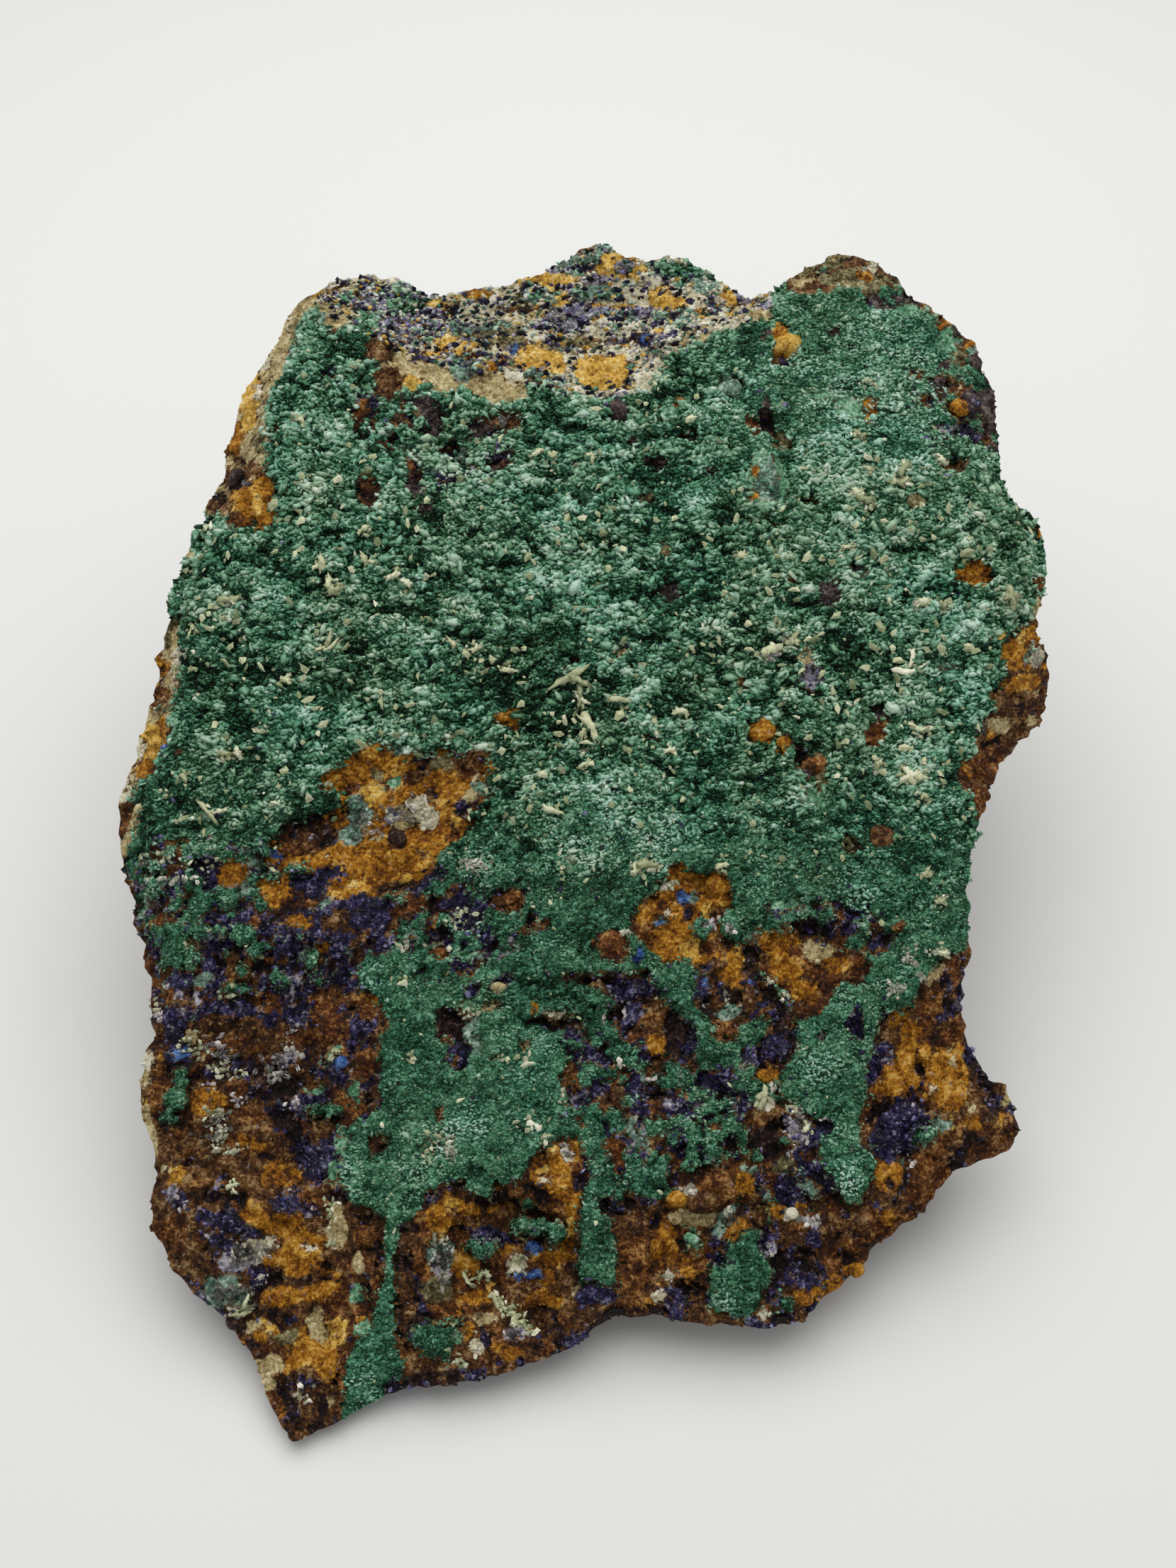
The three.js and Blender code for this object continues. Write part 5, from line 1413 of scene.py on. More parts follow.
def ball_form(rings, sides):
    """A closed ball of unit radius from rings of points between two poles."""
    down = np.arange(1, rings) / rings * math.pi
    around = np.arange(sides) / sides * 2 * math.pi
    ring = np.stack([
        np.outer(np.sin(down), np.cos(around)), np.outer(np.sin(down), np.sin(around)),
        np.repeat(np.cos(down)[:, None], sides, axis=1),
    ], axis=-1).reshape(-1, 3)
    first = np.arange(sides)
    following = np.roll(first, -1)
    top, bottom = len(ring), len(ring) + 1
    faces = [np.stack([np.full(sides, top), first, following], axis=1)]
    for start in np.arange(rings - 2) * sides:
        faces.append(np.stack([first + start, first + start + sides, following + start], axis=1))
        faces.append(np.stack([following + start, first + start + sides, following + start + sides], axis=1))
    last = (rings - 2) * sides
    faces.append(np.stack([np.full(sides, bottom), following + last, first + last], axis=1))
    return np.concatenate([ring, [(0, 0, 1), (0, 0, -1)]]), np.concatenate(faces)


# Cream worms that can be told apart, as (u, v) of one end, (u, v) of the other, and half width
WORMS = [
    (-4.8, 27.4, 1.4, 30.9, 0.7), (-0.7, 28.8, -0.6, 23.6, 0.5), (-0.6, 22.9, 2.1, 18.5, 0.7),
    (-0.4, 13.5, 2.5, 13.5, 0.5), (4.8, 24.6, 8.4, 24.4, 0.5), (-13.7, 31.1, -11.4, 30.6, 0.5),
    (13, 16, 16, 16.6, 0.5), (-7, 7.2, -3.5, 5.8, 0.45), (1, 70.5, 3.2, 69.5, 0.5), (-9, 69, -6.8, 70.2, 0.5),
    (-5.6, 70.5, -4.2, 69.6, 0.5), (46.4, 63.2, 48, 61.6, 0.6), (48, 61.6, 50.6, 60.6, 0.7),
    (48.4, 64.2, 47.6, 61.8, 0.5), (53, 65.3, 55.4, 66, 0.5), (55.4, 66, 57.4, 68.2, 0.6),
    (54.6, 64.6, 56.8, 65.4, 0.5), (61.4, 70, 63.2, 68.6, 0.6), (49, 67.6, 50.8, 67, 0.45),
    (47.4, 74.6, 48.8, 73, 0.5), (26, 51, 28.2, 52, 0.55), (45, 53, 47, 52, 0.5), (-38, 55, -36, 56.2, 0.5),
    (-37.5, 51.6, -36.6, 49.4, 0.5), (-44, 45, -41, 46, 0.6), (-42.6, 47.4, -42.4, 44, 0.5),
    (-45, 51.6, -44.6, 48.6, 0.6), (-33, 47, -31, 48, 0.5), (-31, 46.4, -29.4, 45.4, 0.5),
    (-45, 34.6, -41, 36.2, 0.55), (-67.4, 39, -65, 36.4, 0.35), (-61.6, 40.4, -60, 39, 0.35),
    (-62, 43.4, -58.6, 43.8, 0.6), (-50.2, 76.8, -48.6, 76, 0.5), (-60.6, 16, -58.4, 15.6, 0.5),
    (-57.8, 17, -57, 15.4, 0.6), (-23, 36.6, -21, 35.4, 0.5), (-19, 33.6, -17, 34.6, 0.5),
    (15.4, 23, 17.8, 22.6, 0.6), (30.6, 33, 33.6, 34.4, 0.8), (34, 35, 36.2, 37, 0.7),
    (52.4, 30.8, 58, 31.8, 0.6), (56.4, 42, 59.4, 42.6, 0.7), (61, 43.6, 62, 42.2, 0.5),
    (63.2, 43.4, 62, 42.2, 0.5), (62, 42.2, 61.8, 40.8, 0.5), (70.8, 43, 74.2, 44.2, 0.6),
    (72, 45.4, 73, 41.8, 0.6), (55, 21, 59, 20.6, 0.45), (55.4, 19.8, 59.2, 19.4, 0.4),
    (52.6, 11.2, 55.4, 12.4, 0.6), (54.6, 10.2, 53.4, 13.2, 0.55), (55, 12.4, 57, 12.2, 0.5),
    (56.6, 13.4, 57.6, 14.4, 0.4), (56, 8.2, 57.2, 8.4, 0.45), (48.6, 13.4, 49.8, 14.8, 0.6),
    (9, -3.6, 12, -2.6, 0.7), (8.6, -5, 9.4, -3.2, 0.6), (22, -3.4, 24, -3.2, 0.5), (55, -5.4, 57, -4.6, 0.5),
    (57, -9.4, 59, -8.6, 0.5), (-51, 29.4, -49, 28.6, 0.5), (57.4, -17.6, 59.4, -17.2, 0.4),
    (-18.6, -67.8, -16.4, -69.8, 0.3), (-15.8, -67.6, -14.4, -68.8, 0.45), (-53.6, -73.6, -50.6, -72.6, 0.4),
    (28.2, -42.6, 28.6, -39.4, 0.6), (-62.6, 7.6, -59.6, 4, 0.4), (-66.8, 13, -65.8, 11.4, 0.4),
    (-38.4, -34.2, -40, -33.8, 0.4), (-55.5, -55.4, -53.6, -54.6, 0.4), (35, -46.4, 36.6, -45.4, 0.45),
]
# Clusters of pale crystals, as (u, v, spread across, spread along, how many, blush). The blush runs from
# cream at 0 to pinkish white at 1
PALE_CLUSTERS = [
    (-62, -33, 1.5, 1.6, 16, 0.2), (-58.5, -32.6, 1.6, 1, 10, 0.9), (-57.3, -36.5, 1.8, 0.8, 12, 0.2),
    (-54.5, -37.2, 1.2, 0.8, 9, 0.5), (-59, -39.2, 0.8, 0.7, 5, 1), (-54.3, -41.2, 0.8, 0.7, 6, 0.9),
    (-46.5, -33.6, 1, 1.2, 8, 0.7), (-48.8, -37.2, 1.3, 1, 10, 0.7), (-47, -35, 1.4, 1, 7, 1),
    (-45.3, -42, 1, 0.6, 5, 1), (-58, -43.5, 1.2, 0.5, 6, 0.2), (-57, -46.5, 1, 2.4, 18, 0.4),
    (-55, -49, 2, 0.6, 10, 0.3), (-67.5, -27.7, 0.6, 0.8, 5, 0.9), (-68.3, -26, 0.5, 0.8, 3, 0.3),
    (-46, -30, 0.5, 0.8, 4, 0.9), (-52, -65, 2.6, 1.2, 22, 0.6), (-54, -70.5, 2, 1, 6, 0.5),
    (-49.2, -68.5, 0.5, 0.8, 4, 0.6), (-53.4, -74.6, 1.2, 0.5, 6, 0.8), (-39, -58, 1, 1.6, 8, 0.1),
    (-38.3, -63.3, 0.6, 0.4, 3, 0.1), (-22.5, -62.6, 1, 0.8, 6, 0.4), (-22, -65, 1.8, 1.8, 12, 0.8),
    (-21.5, -68.5, 1, 1, 8, 0.6), (-10, -67, 1, 0.7, 7, 0.1), (-9.6, -65.5, 0.5, 0.3, 3, 0.1),
    (-2.3, -49.3, 0.7, 0.9, 5, 0.8), (-10, -77, 1.6, 0.7, 8, 0.9), (-16, -79, 0.8, 0.8, 5, 0.3),
    (-18.5, -80.5, 0.8, 0.4, 3, 0.2), (17, -55.3, 1.2, 0.5, 6, 0.6), (13.3, -68.2, 0.8, 0.5, 5, 0.5),
    (23, -58.5, 0.8, 0.5, 4, 0.5), (32.5, -59, 0.9, 0.7, 5, 0.5), (35.8, -60, 1.2, 0.6, 6, 0.7),
    (28.5, -73.8, 0.9, 0.4, 3, 0.4), (29.5, -64.5, 0.6, 0.6, 3, 0.9), (34, -46, 2.6, 2.6, 12, 1),
    (33.5, -42.6, 1, 0.7, 5, 0.3), (30.5, -39.3, 0.8, 0.5, 3, 0.8), (6, -35.8, 0.7, 0.4, 3, 0.7),
    (11.2, -38, 0.3, 0.5, 2, 0.8), (3.8, -28.3, 0.6, 0.4, 2, 0.9), (7.4, -27, 0.4, 1.2, 4, 0.9),
    (23.5, -13.6, 1, 1, 7, 0.8), (20.8, -13, 0.6, 0.8, 3, 1), (14.3, -6.4, 1, 0.6, 5, 0.2),
    (10.5, -3, 2, 0.8, 8, 0.2), (7.2, -14.2, 0.5, 0.5, 3, 0.4), (30.6, -22.1, 0.7, 0.3, 3, 0.3),
    (32.7, -25, 0.4, 0.8, 3, 0.4), (23.3, -25.1, 0.7, 0.4, 3, 0.5), (19.6, -25.9, 0.4, 0.3, 2, 0.9),
    (53, -18, 1, 1.8, 10, 0.6), (50.5, -23.5, 1.2, 1.2, 8, 0.6), (58, -17.4, 1.6, 0.5, 7, 0.6),
    (54.8, -22, 0.8, 0.6, 4, 0.6), (52, -51, 0.7, 0.7, 4, 0.8), (-24, -49, 0.5, 1.6, 8, 0.1),
    (-20.5, -49, 0.6, 1.8, 8, 0.5), (-22, -47, 0.8, 0.7, 5, 0.1), (-18, -27.5, 1.4, 0.5, 6, 0.3),
    (-27, -34.6, 0.7, 0.4, 3, 0.1), (-12.5, -34.5, 0.9, 0.3, 3, 0.1), (-3, -41, 0.5, 1, 5, 0.3),
    (-8.6, -34.6, 0.5, 1, 4, 0.3), (-28.7, -22, 0.8, 0.7, 4, 0.1), (-8, -45, 1.6, 1.2, 7, 0.3),
    (-6, -47.5, 1, 0.6, 4, 0.2), (-18, -3, 2.8, 1.2, 18, 0.6), (-20, -12, 2.4, 1.5, 10, 0.2),
    (-28.5, -16.4, 1.3, 0.6, 6, 0.6), (-23, -16.8, 1.2, 0.6, 5, 0.4), (-56, -24.5, 1.6, 0.7, 6, 0.1),
    (-70, -1.8, 2.4, 0.8, 10, 0.2), (-66, -5.5, 4, 0.7, 14, 0.6), (-62, -3, 2, 1, 8, 0.3),
    (-66.5, 4.8, 1.4, 0.3, 5, 0.2), (-69, 9.5, 1.2, 0.6, 5, 0.2), (0.5, 16.8, 0.8, 0.7, 4, 0.3),
    (-2.5, -2.8, 0.9, 1, 8, 0.2), (-42.5, 45.5, 1.6, 1.2, 8, 0.2), (-60.2, 43.5, 2.4, 1.2, 10, 0.7),
    (-53.5, 20.3, 0.9, 0.9, 8, 0.2), (-58, 16.4, 1.2, 0.7, 7, 0.2), (-66.5, 33.5, 0.9, 0.6, 5, 0.3),
    (-57.5, 36.5, 0.8, 0.6, 4, 0.2), (50.5, 84.2, 0.8, 0.7, 7, 0.2), (48, 61.8, 1.2, 1, 7, 0.3),
    (62.5, 69.3, 0.8, 0.8, 4, 0.5), (51, 106.5, 0.9, 0.5, 5, 0.4), (57.5, 42.2, 1.4, 0.9, 5, 0.3),
    (72.5, 43.5, 1.6, 1.2, 7, 0.2), (49.3, 14, 0.7, 0.9, 5, 0.8), (54, 11.7, 1.2, 1.2, 7, 0.3),
    (-42.3, -58.6, 0.6, 0.4, 3, 1), (-45.4, -56.1, 0.4, 0.3, 2, 1), (-62.2, -58, 0.5, 0.8, 4, 1),
    (-58, -62, 0.5, 0.5, 3, 1), (76.4, 33, 1.2, 1.6, 7, 0.4), (-31.5, 5, 0.8, 1, 5, 0.4),
    (-26, 5.4, 1.4, 1.2, 9, 0.4), (-42, 10.6, 0.8, 0.4, 4, 0.2), (-13.2, -71.6, 0.6, 0.5, 6, 0.1),
    (31.6, 33.2, 1.1, 0.8, 18, 1), (34.8, 36.2, 0.8, 0.6, 10, 1), (-12.2, -72.6, 0.7, 0.6, 9, 0.1),
    (-11, -73.6, 0.8, 0.6, 10, 0), (-9.8, -74.6, 0.8, 0.7, 11, 0),
    (-8.6, -75.6, 0.8, 0.6, 10, 0), (-7.6, -76.6, 0.6, 0.5, 6, 0.1), (-42.5, -86, 1.6, 1.6, 4, 0.6),
]
# Patches of clear quartz prisms, as (u, v, spread across, spread along, how many)
QUARTZ_CLUSTERS = [
    (-51.5, -65, 2.6, 1.2, 34), (-54, -71, 2.4, 1.2, 26), (-22, -65.5, 1.4, 2.2, 24),
    (-20.6, 86.7, 1.8, 1.8, 16), (-14, 76.5, 2, 1, 10), (-48, -36.4, 2.4, 1.6, 14), (-58, -45.5, 2, 2.6, 16),
    (-57, -34, 3, 1.6, 12), (35, -46, 2.6, 2.4, 14), (-35, 4, 2, 2.4, 14), (-29, 6, 2.4, 2, 12),
    (23, -59.5, 1.2, 1.2, 8), (-10, -77, 1.4, 0.8, 6), (76, 33, 1.6, 1.6, 10), (62, 30, 1.4, 1.2, 8),
    (14, 91, 2, 2, 10), (-3, 96, 3, 2, 16), (-33, 93, 3, 2, 12),
]
# Pebbles and knobs that stand up from the rock, as (u, v, half across, half along, half height, turn in
# degrees, kind of rock)
KNOBS = [
    (35.2, 93.2, 1.7, 1.5, 1.5, 0, "ochre"), (36.3, 91, 2.6, 2.3, 1.6, 0, "gold"),
    (66.2, 79, 1.8, 1.7, 1.1, 0, "ochre"), (49.6, 1.6, 2, 2, 1.5, 0, "brown"),
    (15, -57, 1.6, 1.4, 1, 0, "ochre"),
    (19, -57, 2.8, 1.9, 1.2, 10, "brown"), (6.2, 78.3, 1.8, 2.4, 1.4, 0, "plum"),
    (-30.5, 1.4, 1.6, 1.6, 1.3, 0, "dark"), (-13.5, -23.2, 1.6, 0.8, 0.9, -10, "tan"),
    (-54, -75.4, 1.6, 1.1, 1, 0, "dark"), (62, -45, 1.4, 1, 0.9, 0, "ochre"),
    (-66.9, 51.3, 1, 1, 0.8, 0, "tan"), (-73.2, 6, 0.9, 1, 0.7, 0, "tan"),
    (57.7, 61.5, 1.7, 1.3, 1, 0, "olive"), (29.8, 19.5, 2.4, 2.3, 0.7, 0, "ochre"),
    (33.5, 17.5, 1.4, 1.2, 1, 0, "ochre"), (39, 14.3, 1.8, 1.6, 1, 0, "rust"),
    (63.8, 87, 1.4, 1.2, 1, 0, "plum"), (-59.4, 65.8, 2.3, 1.6, 1.1, -15, "dark"),
    (-33.5, -62, 1.3, 1.5, 0.9, 0, "rust"), (-34, -66.4, 1.4, 1.7, 0.9, 0, "tan"),
    (5, -16.5, 2.6, 2.3, 1, 0, "rust"), (22, -7, 1.9, 2.3, 0.9, 0, "ochre"),
    (17, -63.2, 1.2, 1.1, 1, 0, "mint"), (-38.3, -35.2, 1, 1, 0.8, 0, "blue"),
    (9.2, -17.8, 1.2, 1.1, 0.7, 0, "blue"), (-7.2, -63.9, 1.1, 0.9, 0.7, 0, "blue"),
    (-69.2, 16.8, 0.7, 0.7, 0.6, 0, "blue"), (29.5, -37.5, 1.6, 1.2, 0.9, 0, "ochre"),
    (32.5, -59, 1, 0.9, 0.8, 0, "cream"), (42, -67.5, 1.3, 1.1, 0.9, 0, "ochre"),
    (34, -71.5, 1.3, 1.1, 0.9, 0, "ochre"), (14.5, 51.8, 1.2, 1.2, 0.7, 0, "olive"),
    (-12.5, 22.3, 2.4, 1.2, 0.8, 0, "ochre"), (-23, -18, 1.5, 1, 0.7, 0, "rust"),
    (-12, -9.3, 2.4, 1.8, 0.9, 0, "rust"), (69.2, 87.6, 1.2, 1.2, 0.7, 0, "plum"),
    (26, 83, 2.2, 1.9, 0.9, 0, "sage"),
]


def add_rock(material):
    """The rock: one closed surface of crust, open limonite and broken walls, in the solid model's place."""
    stone = rock()
    piece = add_mesh(
        "limonite_rock", stone.points, [stone.quads, stone.fan], stone.kinds, material,
    )
    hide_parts(NODE)


def tuft_tone(grains, coarse, crest):
    """How light each tuft is: random tone, paler in haze and darker on dark rock, with painted light and
    shade by place.
    """
    random = grains.random
    # The crest terms are painted light on crests and painted shade in dips; the pit term is painted shade.
    tone = (0.08 + 0.11 * coarse) * crest + 0.12 * cloud(grains.place, 4, 71, 3) - 0.02 + 0.03 * coarse
    tone = tone + (0.19 + 0.13 * coarse) * cloud(grains.place * [0.5, 1.15, 1.15], 1.7, 73, 2)
    tone = tone - 0.1 * coarse * smooth(-0.1, -0.7, crest) - 0.3 * smooth(0.1, 0.7, grains.kinds["pit_shade"])
    tone = tone + (0.13 - 0.06 * coarse) * cloud(grains.place, 7, 76, 2)
    tone = tone + random.normal(0, 1, grains.count) * (0.06 + 0.03 * coarse)
    tone = tone + (0.24 - 0.08 * coarse) * grains.kinds["haze"]
    tone = tone + 0.16 * (random.random(grains.count) < 0.04 + 0.05 * coarse)  # a few stand out
    return tone - 0.12 * grains.kinds["dark"] - 0.03


def add_tufts():
    """Velvety malachite tufts on the crust: dented five-sided double pyramids, half sunk in the rock.

    They are coarser higher up the face. Each band of the face is a piece of its own.
    """
    sizes = bpy.context.scene.specimen_sizes
    stone = rock()
    crust = stone.face_kinds["crust"]
    coarse = coarseness(stone.face_points)
    density = smooth(0.35, 0.7, crust) * (3.4 - 0.5 * coarse) * sizes.tuft_density
    density = density + 0.4 * smooth(0.1, 0.3, crust) * (crust < 0.6)
    density = density + 0.5 * stone.face_kinds["sage"]
    material = velvet_malachite()
    for band in range(len(TUFT_BANDS) - 1):
        inside = (stone.v >= TUFT_BANDS[band]) & (stone.v < TUFT_BANDS[band + 1])
        grains = scatter(np.where(inside, density, 0), 60 + band)
        random = grains.random
        crest = np.clip(grains.kinds["relief"], -1.2, 1.2)
        coarse = coarseness(grains.place)
        size = (0.56 + 0.46 * coarse) * sizes.tuft_length / MM / 2
        size = size * np.exp(random.normal(0, 0.26, grains.count)) * (1 + 0.15 * crest)
        shape = np.stack([
            size * random.uniform(0.9, 1.7, grains.count), size * random.uniform(0.45, 0.85, grains.count),
            size * random.uniform(0.6, 1.2, grains.count),
        ], axis=1)
        tone = tuft_tone(grains, coarse, crest)
        warmth = 0.5 + 0.9 * cloud(grains.place, 9, 72, 3) + random.normal(0, 0.12, grains.count)
        warmth = np.clip(warmth - 0.3 * grains.kinds["haze"], 0, 1)
        turn = random.normal(0, 0.65, grains.count)
        # contrast sets the painted shade at each tuft's foot and the painted sheen at its tip, stronger where
        # it is coarse.
        add_grains(
            f"malachite_tufts_{band + 1}", TUFT, TUFT_FACES, grains, shape, turn, 0.2 * size,
            {"tone": tone, "warmth": warmth}, material, "malachite_crust",
            smooth=True, rough=0.42, contrast=0.45 + 0.75 * coarse,
        )


def add_azurite():
    """Azurite crystals: stretched double pyramids, thick on the azurite patches and dotted over the scoop."""
    sizes = bpy.context.scene.specimen_sizes
    stone = rock()
    kinds = stone.face_kinds
    scoop = smooth(0, 0.1, scoop_run(stone.u, stone.v))
    density = 1.5 * kinds["violet"] + 0.5 * kinds["lilac"] + 0.2 * kinds["dark"] + 0.015 * kinds["crust"]
    gathered = smooth(-0.3, 0.2, cloud(stone.face_points, 3, 82))
    density = density + scoop * (0.16 + 0.34 * smooth(5, -20, stone.u)) * gathered
    grains = scatter(density, 81)
    random = grains.random
    size = sizes.azurite_length / MM / 2 * random.uniform(0.5, 1.2, grains.count)
    shape = np.stack([size, size * random.uniform(0.55, 0.9, grains.count), size * 0.7], axis=1)
    tone = random.normal(0.13, 0.15, grains.count) + 0.35 * grains.kinds["lilac"]
    tone = tone + 0.33 * (random.random(grains.count) < 0.12)  # a few catch the light
    add_grains(
        "azurite_crystals", OCTAHEDRON, OCTAHEDRON_FACES, grains, shape, random.normal(0, 0.7, grains.count),
        0.15 * size, {"tone": tone}, glassy_azurite(), "azurite_grains",
    )


def add_crumbs(material):
    """Crumbs of the open rock, each of the kinds of rock found under it, as dented double pyramids."""
    sizes = bpy.context.scene.specimen_sizes
    kinds = rock().face_kinds
    grains = scatter((1 - kinds["crust"]) * (0.5 - 0.3 * kinds["violet"]), 91)
    random = grains.random
    size = sizes.crumb_length / MM / 2 * random.uniform(0.45, 1.4, grains.count)
    shape = np.stack([size, size * random.uniform(0.6, 1, grains.count), size * 0.75], axis=1)
    values = {name: grains.kinds[name] for name in KINDS}
    values["relief"] = random.normal(0.3, 0.5, grains.count)
    # Painted shade: crumbs in pits take part of the rock's darkening there.
    values["pit_shade"] = 0.6 * grains.kinds["pit_shade"]
    add_grains(
        "limonite_crumbs", TUFT, TUFT_FACES, grains, shape, random.uniform(0, math.pi, grains.count),
        0.1 * size, values, material, "iron_matrix", rough=0.35,
    )


def add_scoop_grains(material):
    """Grains on the scooped edge: small dented double pyramids of azurite, malachite and pale rock."""
    stone = rock()
    scoop = smooth(0, 0.12, scoop_run(stone.u, stone.v)) * (1 - stone.face_kinds["gold"])
    gathered = smooth(-0.45, 0.25, cloud(stone.face_points, 3.2, 141, 2))
    grains = scatter(scoop * (0.2 + 0.95 * gathered), 142)
    random = grains.random
    draw = random.random(grains.count) + 0.12 * smooth(0, 30, grains.u)
    values = {name: np.zeros(grains.count) for name in KINDS}
    for name, low, high in SCOOP_GRAIN_KINDS:
        values[name] = ((draw >= low) & (draw < high)).astype(float)
    values["relief"] = random.normal(0.5, 1, grains.count) - 1.2 * values["violet"]
    size = random.uniform(0.25, 0.62, grains.count) * (1 + 0.3 * values["violet"])
    shape = np.stack([size * 1.2, size * random.uniform(0.6, 1, grains.count), size * 0.9], axis=1)
    add_grains(
        "scoop_grains", TUFT, TUFT_FACES, grains, shape, random.uniform(-0.8, 0.8, grains.count), 0.25 * size,
        values, material, "iron_matrix", smooth=True, rough=0.4,
    )


def add_knobs(material):
    """Pebbles and knobs: balls pressed to the given sizes, with round dents from noise."""
    form, form_faces = ball_form(8, 14)
    numbers = np.array([knob[:6] for knob in KNOBS], float)
    grains = near(numbers[:, :2], 95)
    values = {name: np.array([knob[6] == name for knob in KNOBS], float) for name in KINDS}
    values["relief"] = np.full(len(KNOBS), 0.3)
    axes = axes_on(grains, np.radians(numbers[:, 5]))
    place = grains.place + grains.normal * 0.3
    points, faces = copies(form, form_faces, place, axes, numbers[:, 2:5], grains.random, 0.0)
    middle = np.repeat(grains.place, len(form), axis=0)
    points = middle + (points - middle) * (1 + 0.4 * cloud(points, 1.5, 96, 3))[:, None]
    values = {name: np.repeat(data, len(form)) for name, data in values.items()}
    add_mesh("limonite_knobs", inside_box(points), [faces], values, material, True)


def cluster_spots(clusters, seed, crowd):
    """Places scattered about each cluster's middle, crowd times its number, and its row repeated for each."""
    table = np.array(clusters, float)
    repeated = np.repeat(table, np.ceil(table[:, 4] * crowd).astype(int), axis=0)
    random = np.random.default_rng(seed)
    return repeated[:, :2] + random.normal(0, 0.6, (len(repeated), 2)) * repeated[:, 2:4], repeated


def add_worms(material):
    """Cream worms: short bent tubes that lie on the crust, each with a thinner twig that forks off it."""
    ends = np.array(WORMS)
    middle = (ends[:, :2] + ends[:, 2:4]) / 2
    span = ends[:, 2:4] - ends[:, :2]
    turn = np.arctan2(span[:, 1], span[:, 0])
    reach = 0.9 * np.hypot(span[:, 0], span[:, 1]) / 2
    side = np.where(np.arange(len(ends)) % 2, 1, -1)
    twig_turn = turn + np.random.default_rng(103).uniform(0.8, 1.3, len(ends)) * side
    twig_reach = 0.2 + 0.45 * reach
    twigs = middle + twig_reach[:, None] * np.stack([np.cos(twig_turn), np.sin(twig_turn)], axis=1)
    worms = near(np.concatenate([middle, twigs]), 101)
    form, form_faces = tube_form(9, 8)
    half = np.concatenate([0.9 * ends[:, 4], 0.65 * ends[:, 4]])
    shape = np.stack([np.concatenate([reach, twig_reach]), half, half * 0.8], axis=1)
    values = {
        "tone": worms.random.normal(0.4, 0.14, worms.count),
        "blush": worms.random.uniform(0, 0.06, worms.count),
    }
    add_grains(
        "cream_worms", form, form_faces, worms, shape, np.concatenate([turn, twig_turn]), half * 0.5 + 0.5,
        values, material, "pale_flecks", smooth=True, rough=0.6, bend=0.45,
    )


def add_cream_grains(material):
    """Small cream grains on the crust, in drifts that thin out towards its front and its far edge."""
    sizes = bpy.context.scene.specimen_sizes
    stone = rock()
    speckled = smooth(0.0, 0.4, cloud(stone.face_points, 3.5, 110, 2))
    speckled = speckled * smooth(-0.35, 0.2, cloud(stone.face_points, 14, 111, 2))
    density = 0.012 + smooth(-20, 12, stone.v) * (0.03 + 0.22 * speckled) * smooth(98, 60, stone.v)
    grains = scatter(stone.face_kinds["crust"] * density, 112)
    random = grains.random
    size = sizes.fleck_length / MM / 2 * (0.3 + 0.9 * random.random(grains.count) ** 1.6)
    size = size * (0.6 + 0.4 * coarseness(grains.place))
    side = np.clip(size * random.uniform(0.4, 0.9, grains.count), 0.2, 0.6)
    values = {
        "tone": random.normal(0.26, 0.17, grains.count),
        "blush": 0.2 * random.random(grains.count) ** 4,
    }
    shape = np.stack([size, side, size * 0.5], axis=1)
    add_grains(
        "cream_grains", TUFT, TUFT_FACES, grains, shape, random.uniform(-1.5, 1.5, grains.count),
        0.55 + 0.2 * size, values, material, "pale_flecks", rough=0.55,
    )


def add_pale_crystals(material):
    """Pale crystals in clusters, and a few beside each worm: small dented double pyramids."""
    beside = [((a + c) / 2, (b + d) / 2, 1.1, 1.1, 2, 0.1) for a, b, c, d, _ in WORMS]
    spots, repeated = cluster_spots(PALE_CLUSTERS + beside, 121, 2.4)
    grains = near(spots, 122)
    random = grains.random
    size = random.uniform(0.18, 0.6, grains.count)
    shape = np.stack([size * random.uniform(0.9, 1.4, grains.count), size * 0.8, size * 0.8], axis=1)
    values = {"tone": random.normal(0.34, 0.2, grains.count), "blush": repeated[:, 5]}
    add_grains(
        "pale_crystals", TUFT, TUFT_FACES, grains, shape, random.uniform(0, math.pi, grains.count),
        0.2 * size + 0.1, values, material, "pale_flecks", rough=0.5,
    )


def add_quartz():
    """Clear quartz in small six-sided prisms with pointed ends, tipped up at random in clusters."""
    sizes = bpy.context.scene.specimen_sizes
    grains = near(cluster_spots(QUARTZ_CLUSTERS, 131, 1.5)[0], 132)
    random = grains.random
    size = sizes.quartz_length / MM / 2 * random.uniform(0.5, 1.3, grains.count)
    grains.normal = grains.normal + random.normal(0, 0.5, (grains.count, 3))
    grains.normal = grains.normal / np.linalg.norm(grains.normal, axis=1, keepdims=True)
    shape = np.stack([size, size, size], axis=1)
    add_grains(
        "quartz_prisms", PRISM, PRISM_FACES, grains, shape, random.uniform(0, math.pi, grains.count),
        0.2 * size + 0.2, {}, clear_quartz(), "quartz_druse", rough=0.08,
    )


def add_floor():
    """A wide pale square floor under the stone."""
    studio = bpy.context.scene.specimen_studio
    material, tree = new_material("paper_matte_white")
    finish_material(tree, {"Base Color": (*studio.floor_colour[:3], 1.0), "Roughness": 0.9})
    mesh = bpy.data.meshes.new("floor")
    half = studio.floor_size / 2
    corners = [(-half, -half, 0), (half, -half, 0), (half, half, 0), (-half, half, 0)]
    mesh.from_pydata(corners, [], [(0, 1, 2, 3)])
    mesh.materials.append(material)
    floor = bpy.data.objects.new("floor", mesh)
    bpy.context.scene.collection.objects.link(floor)


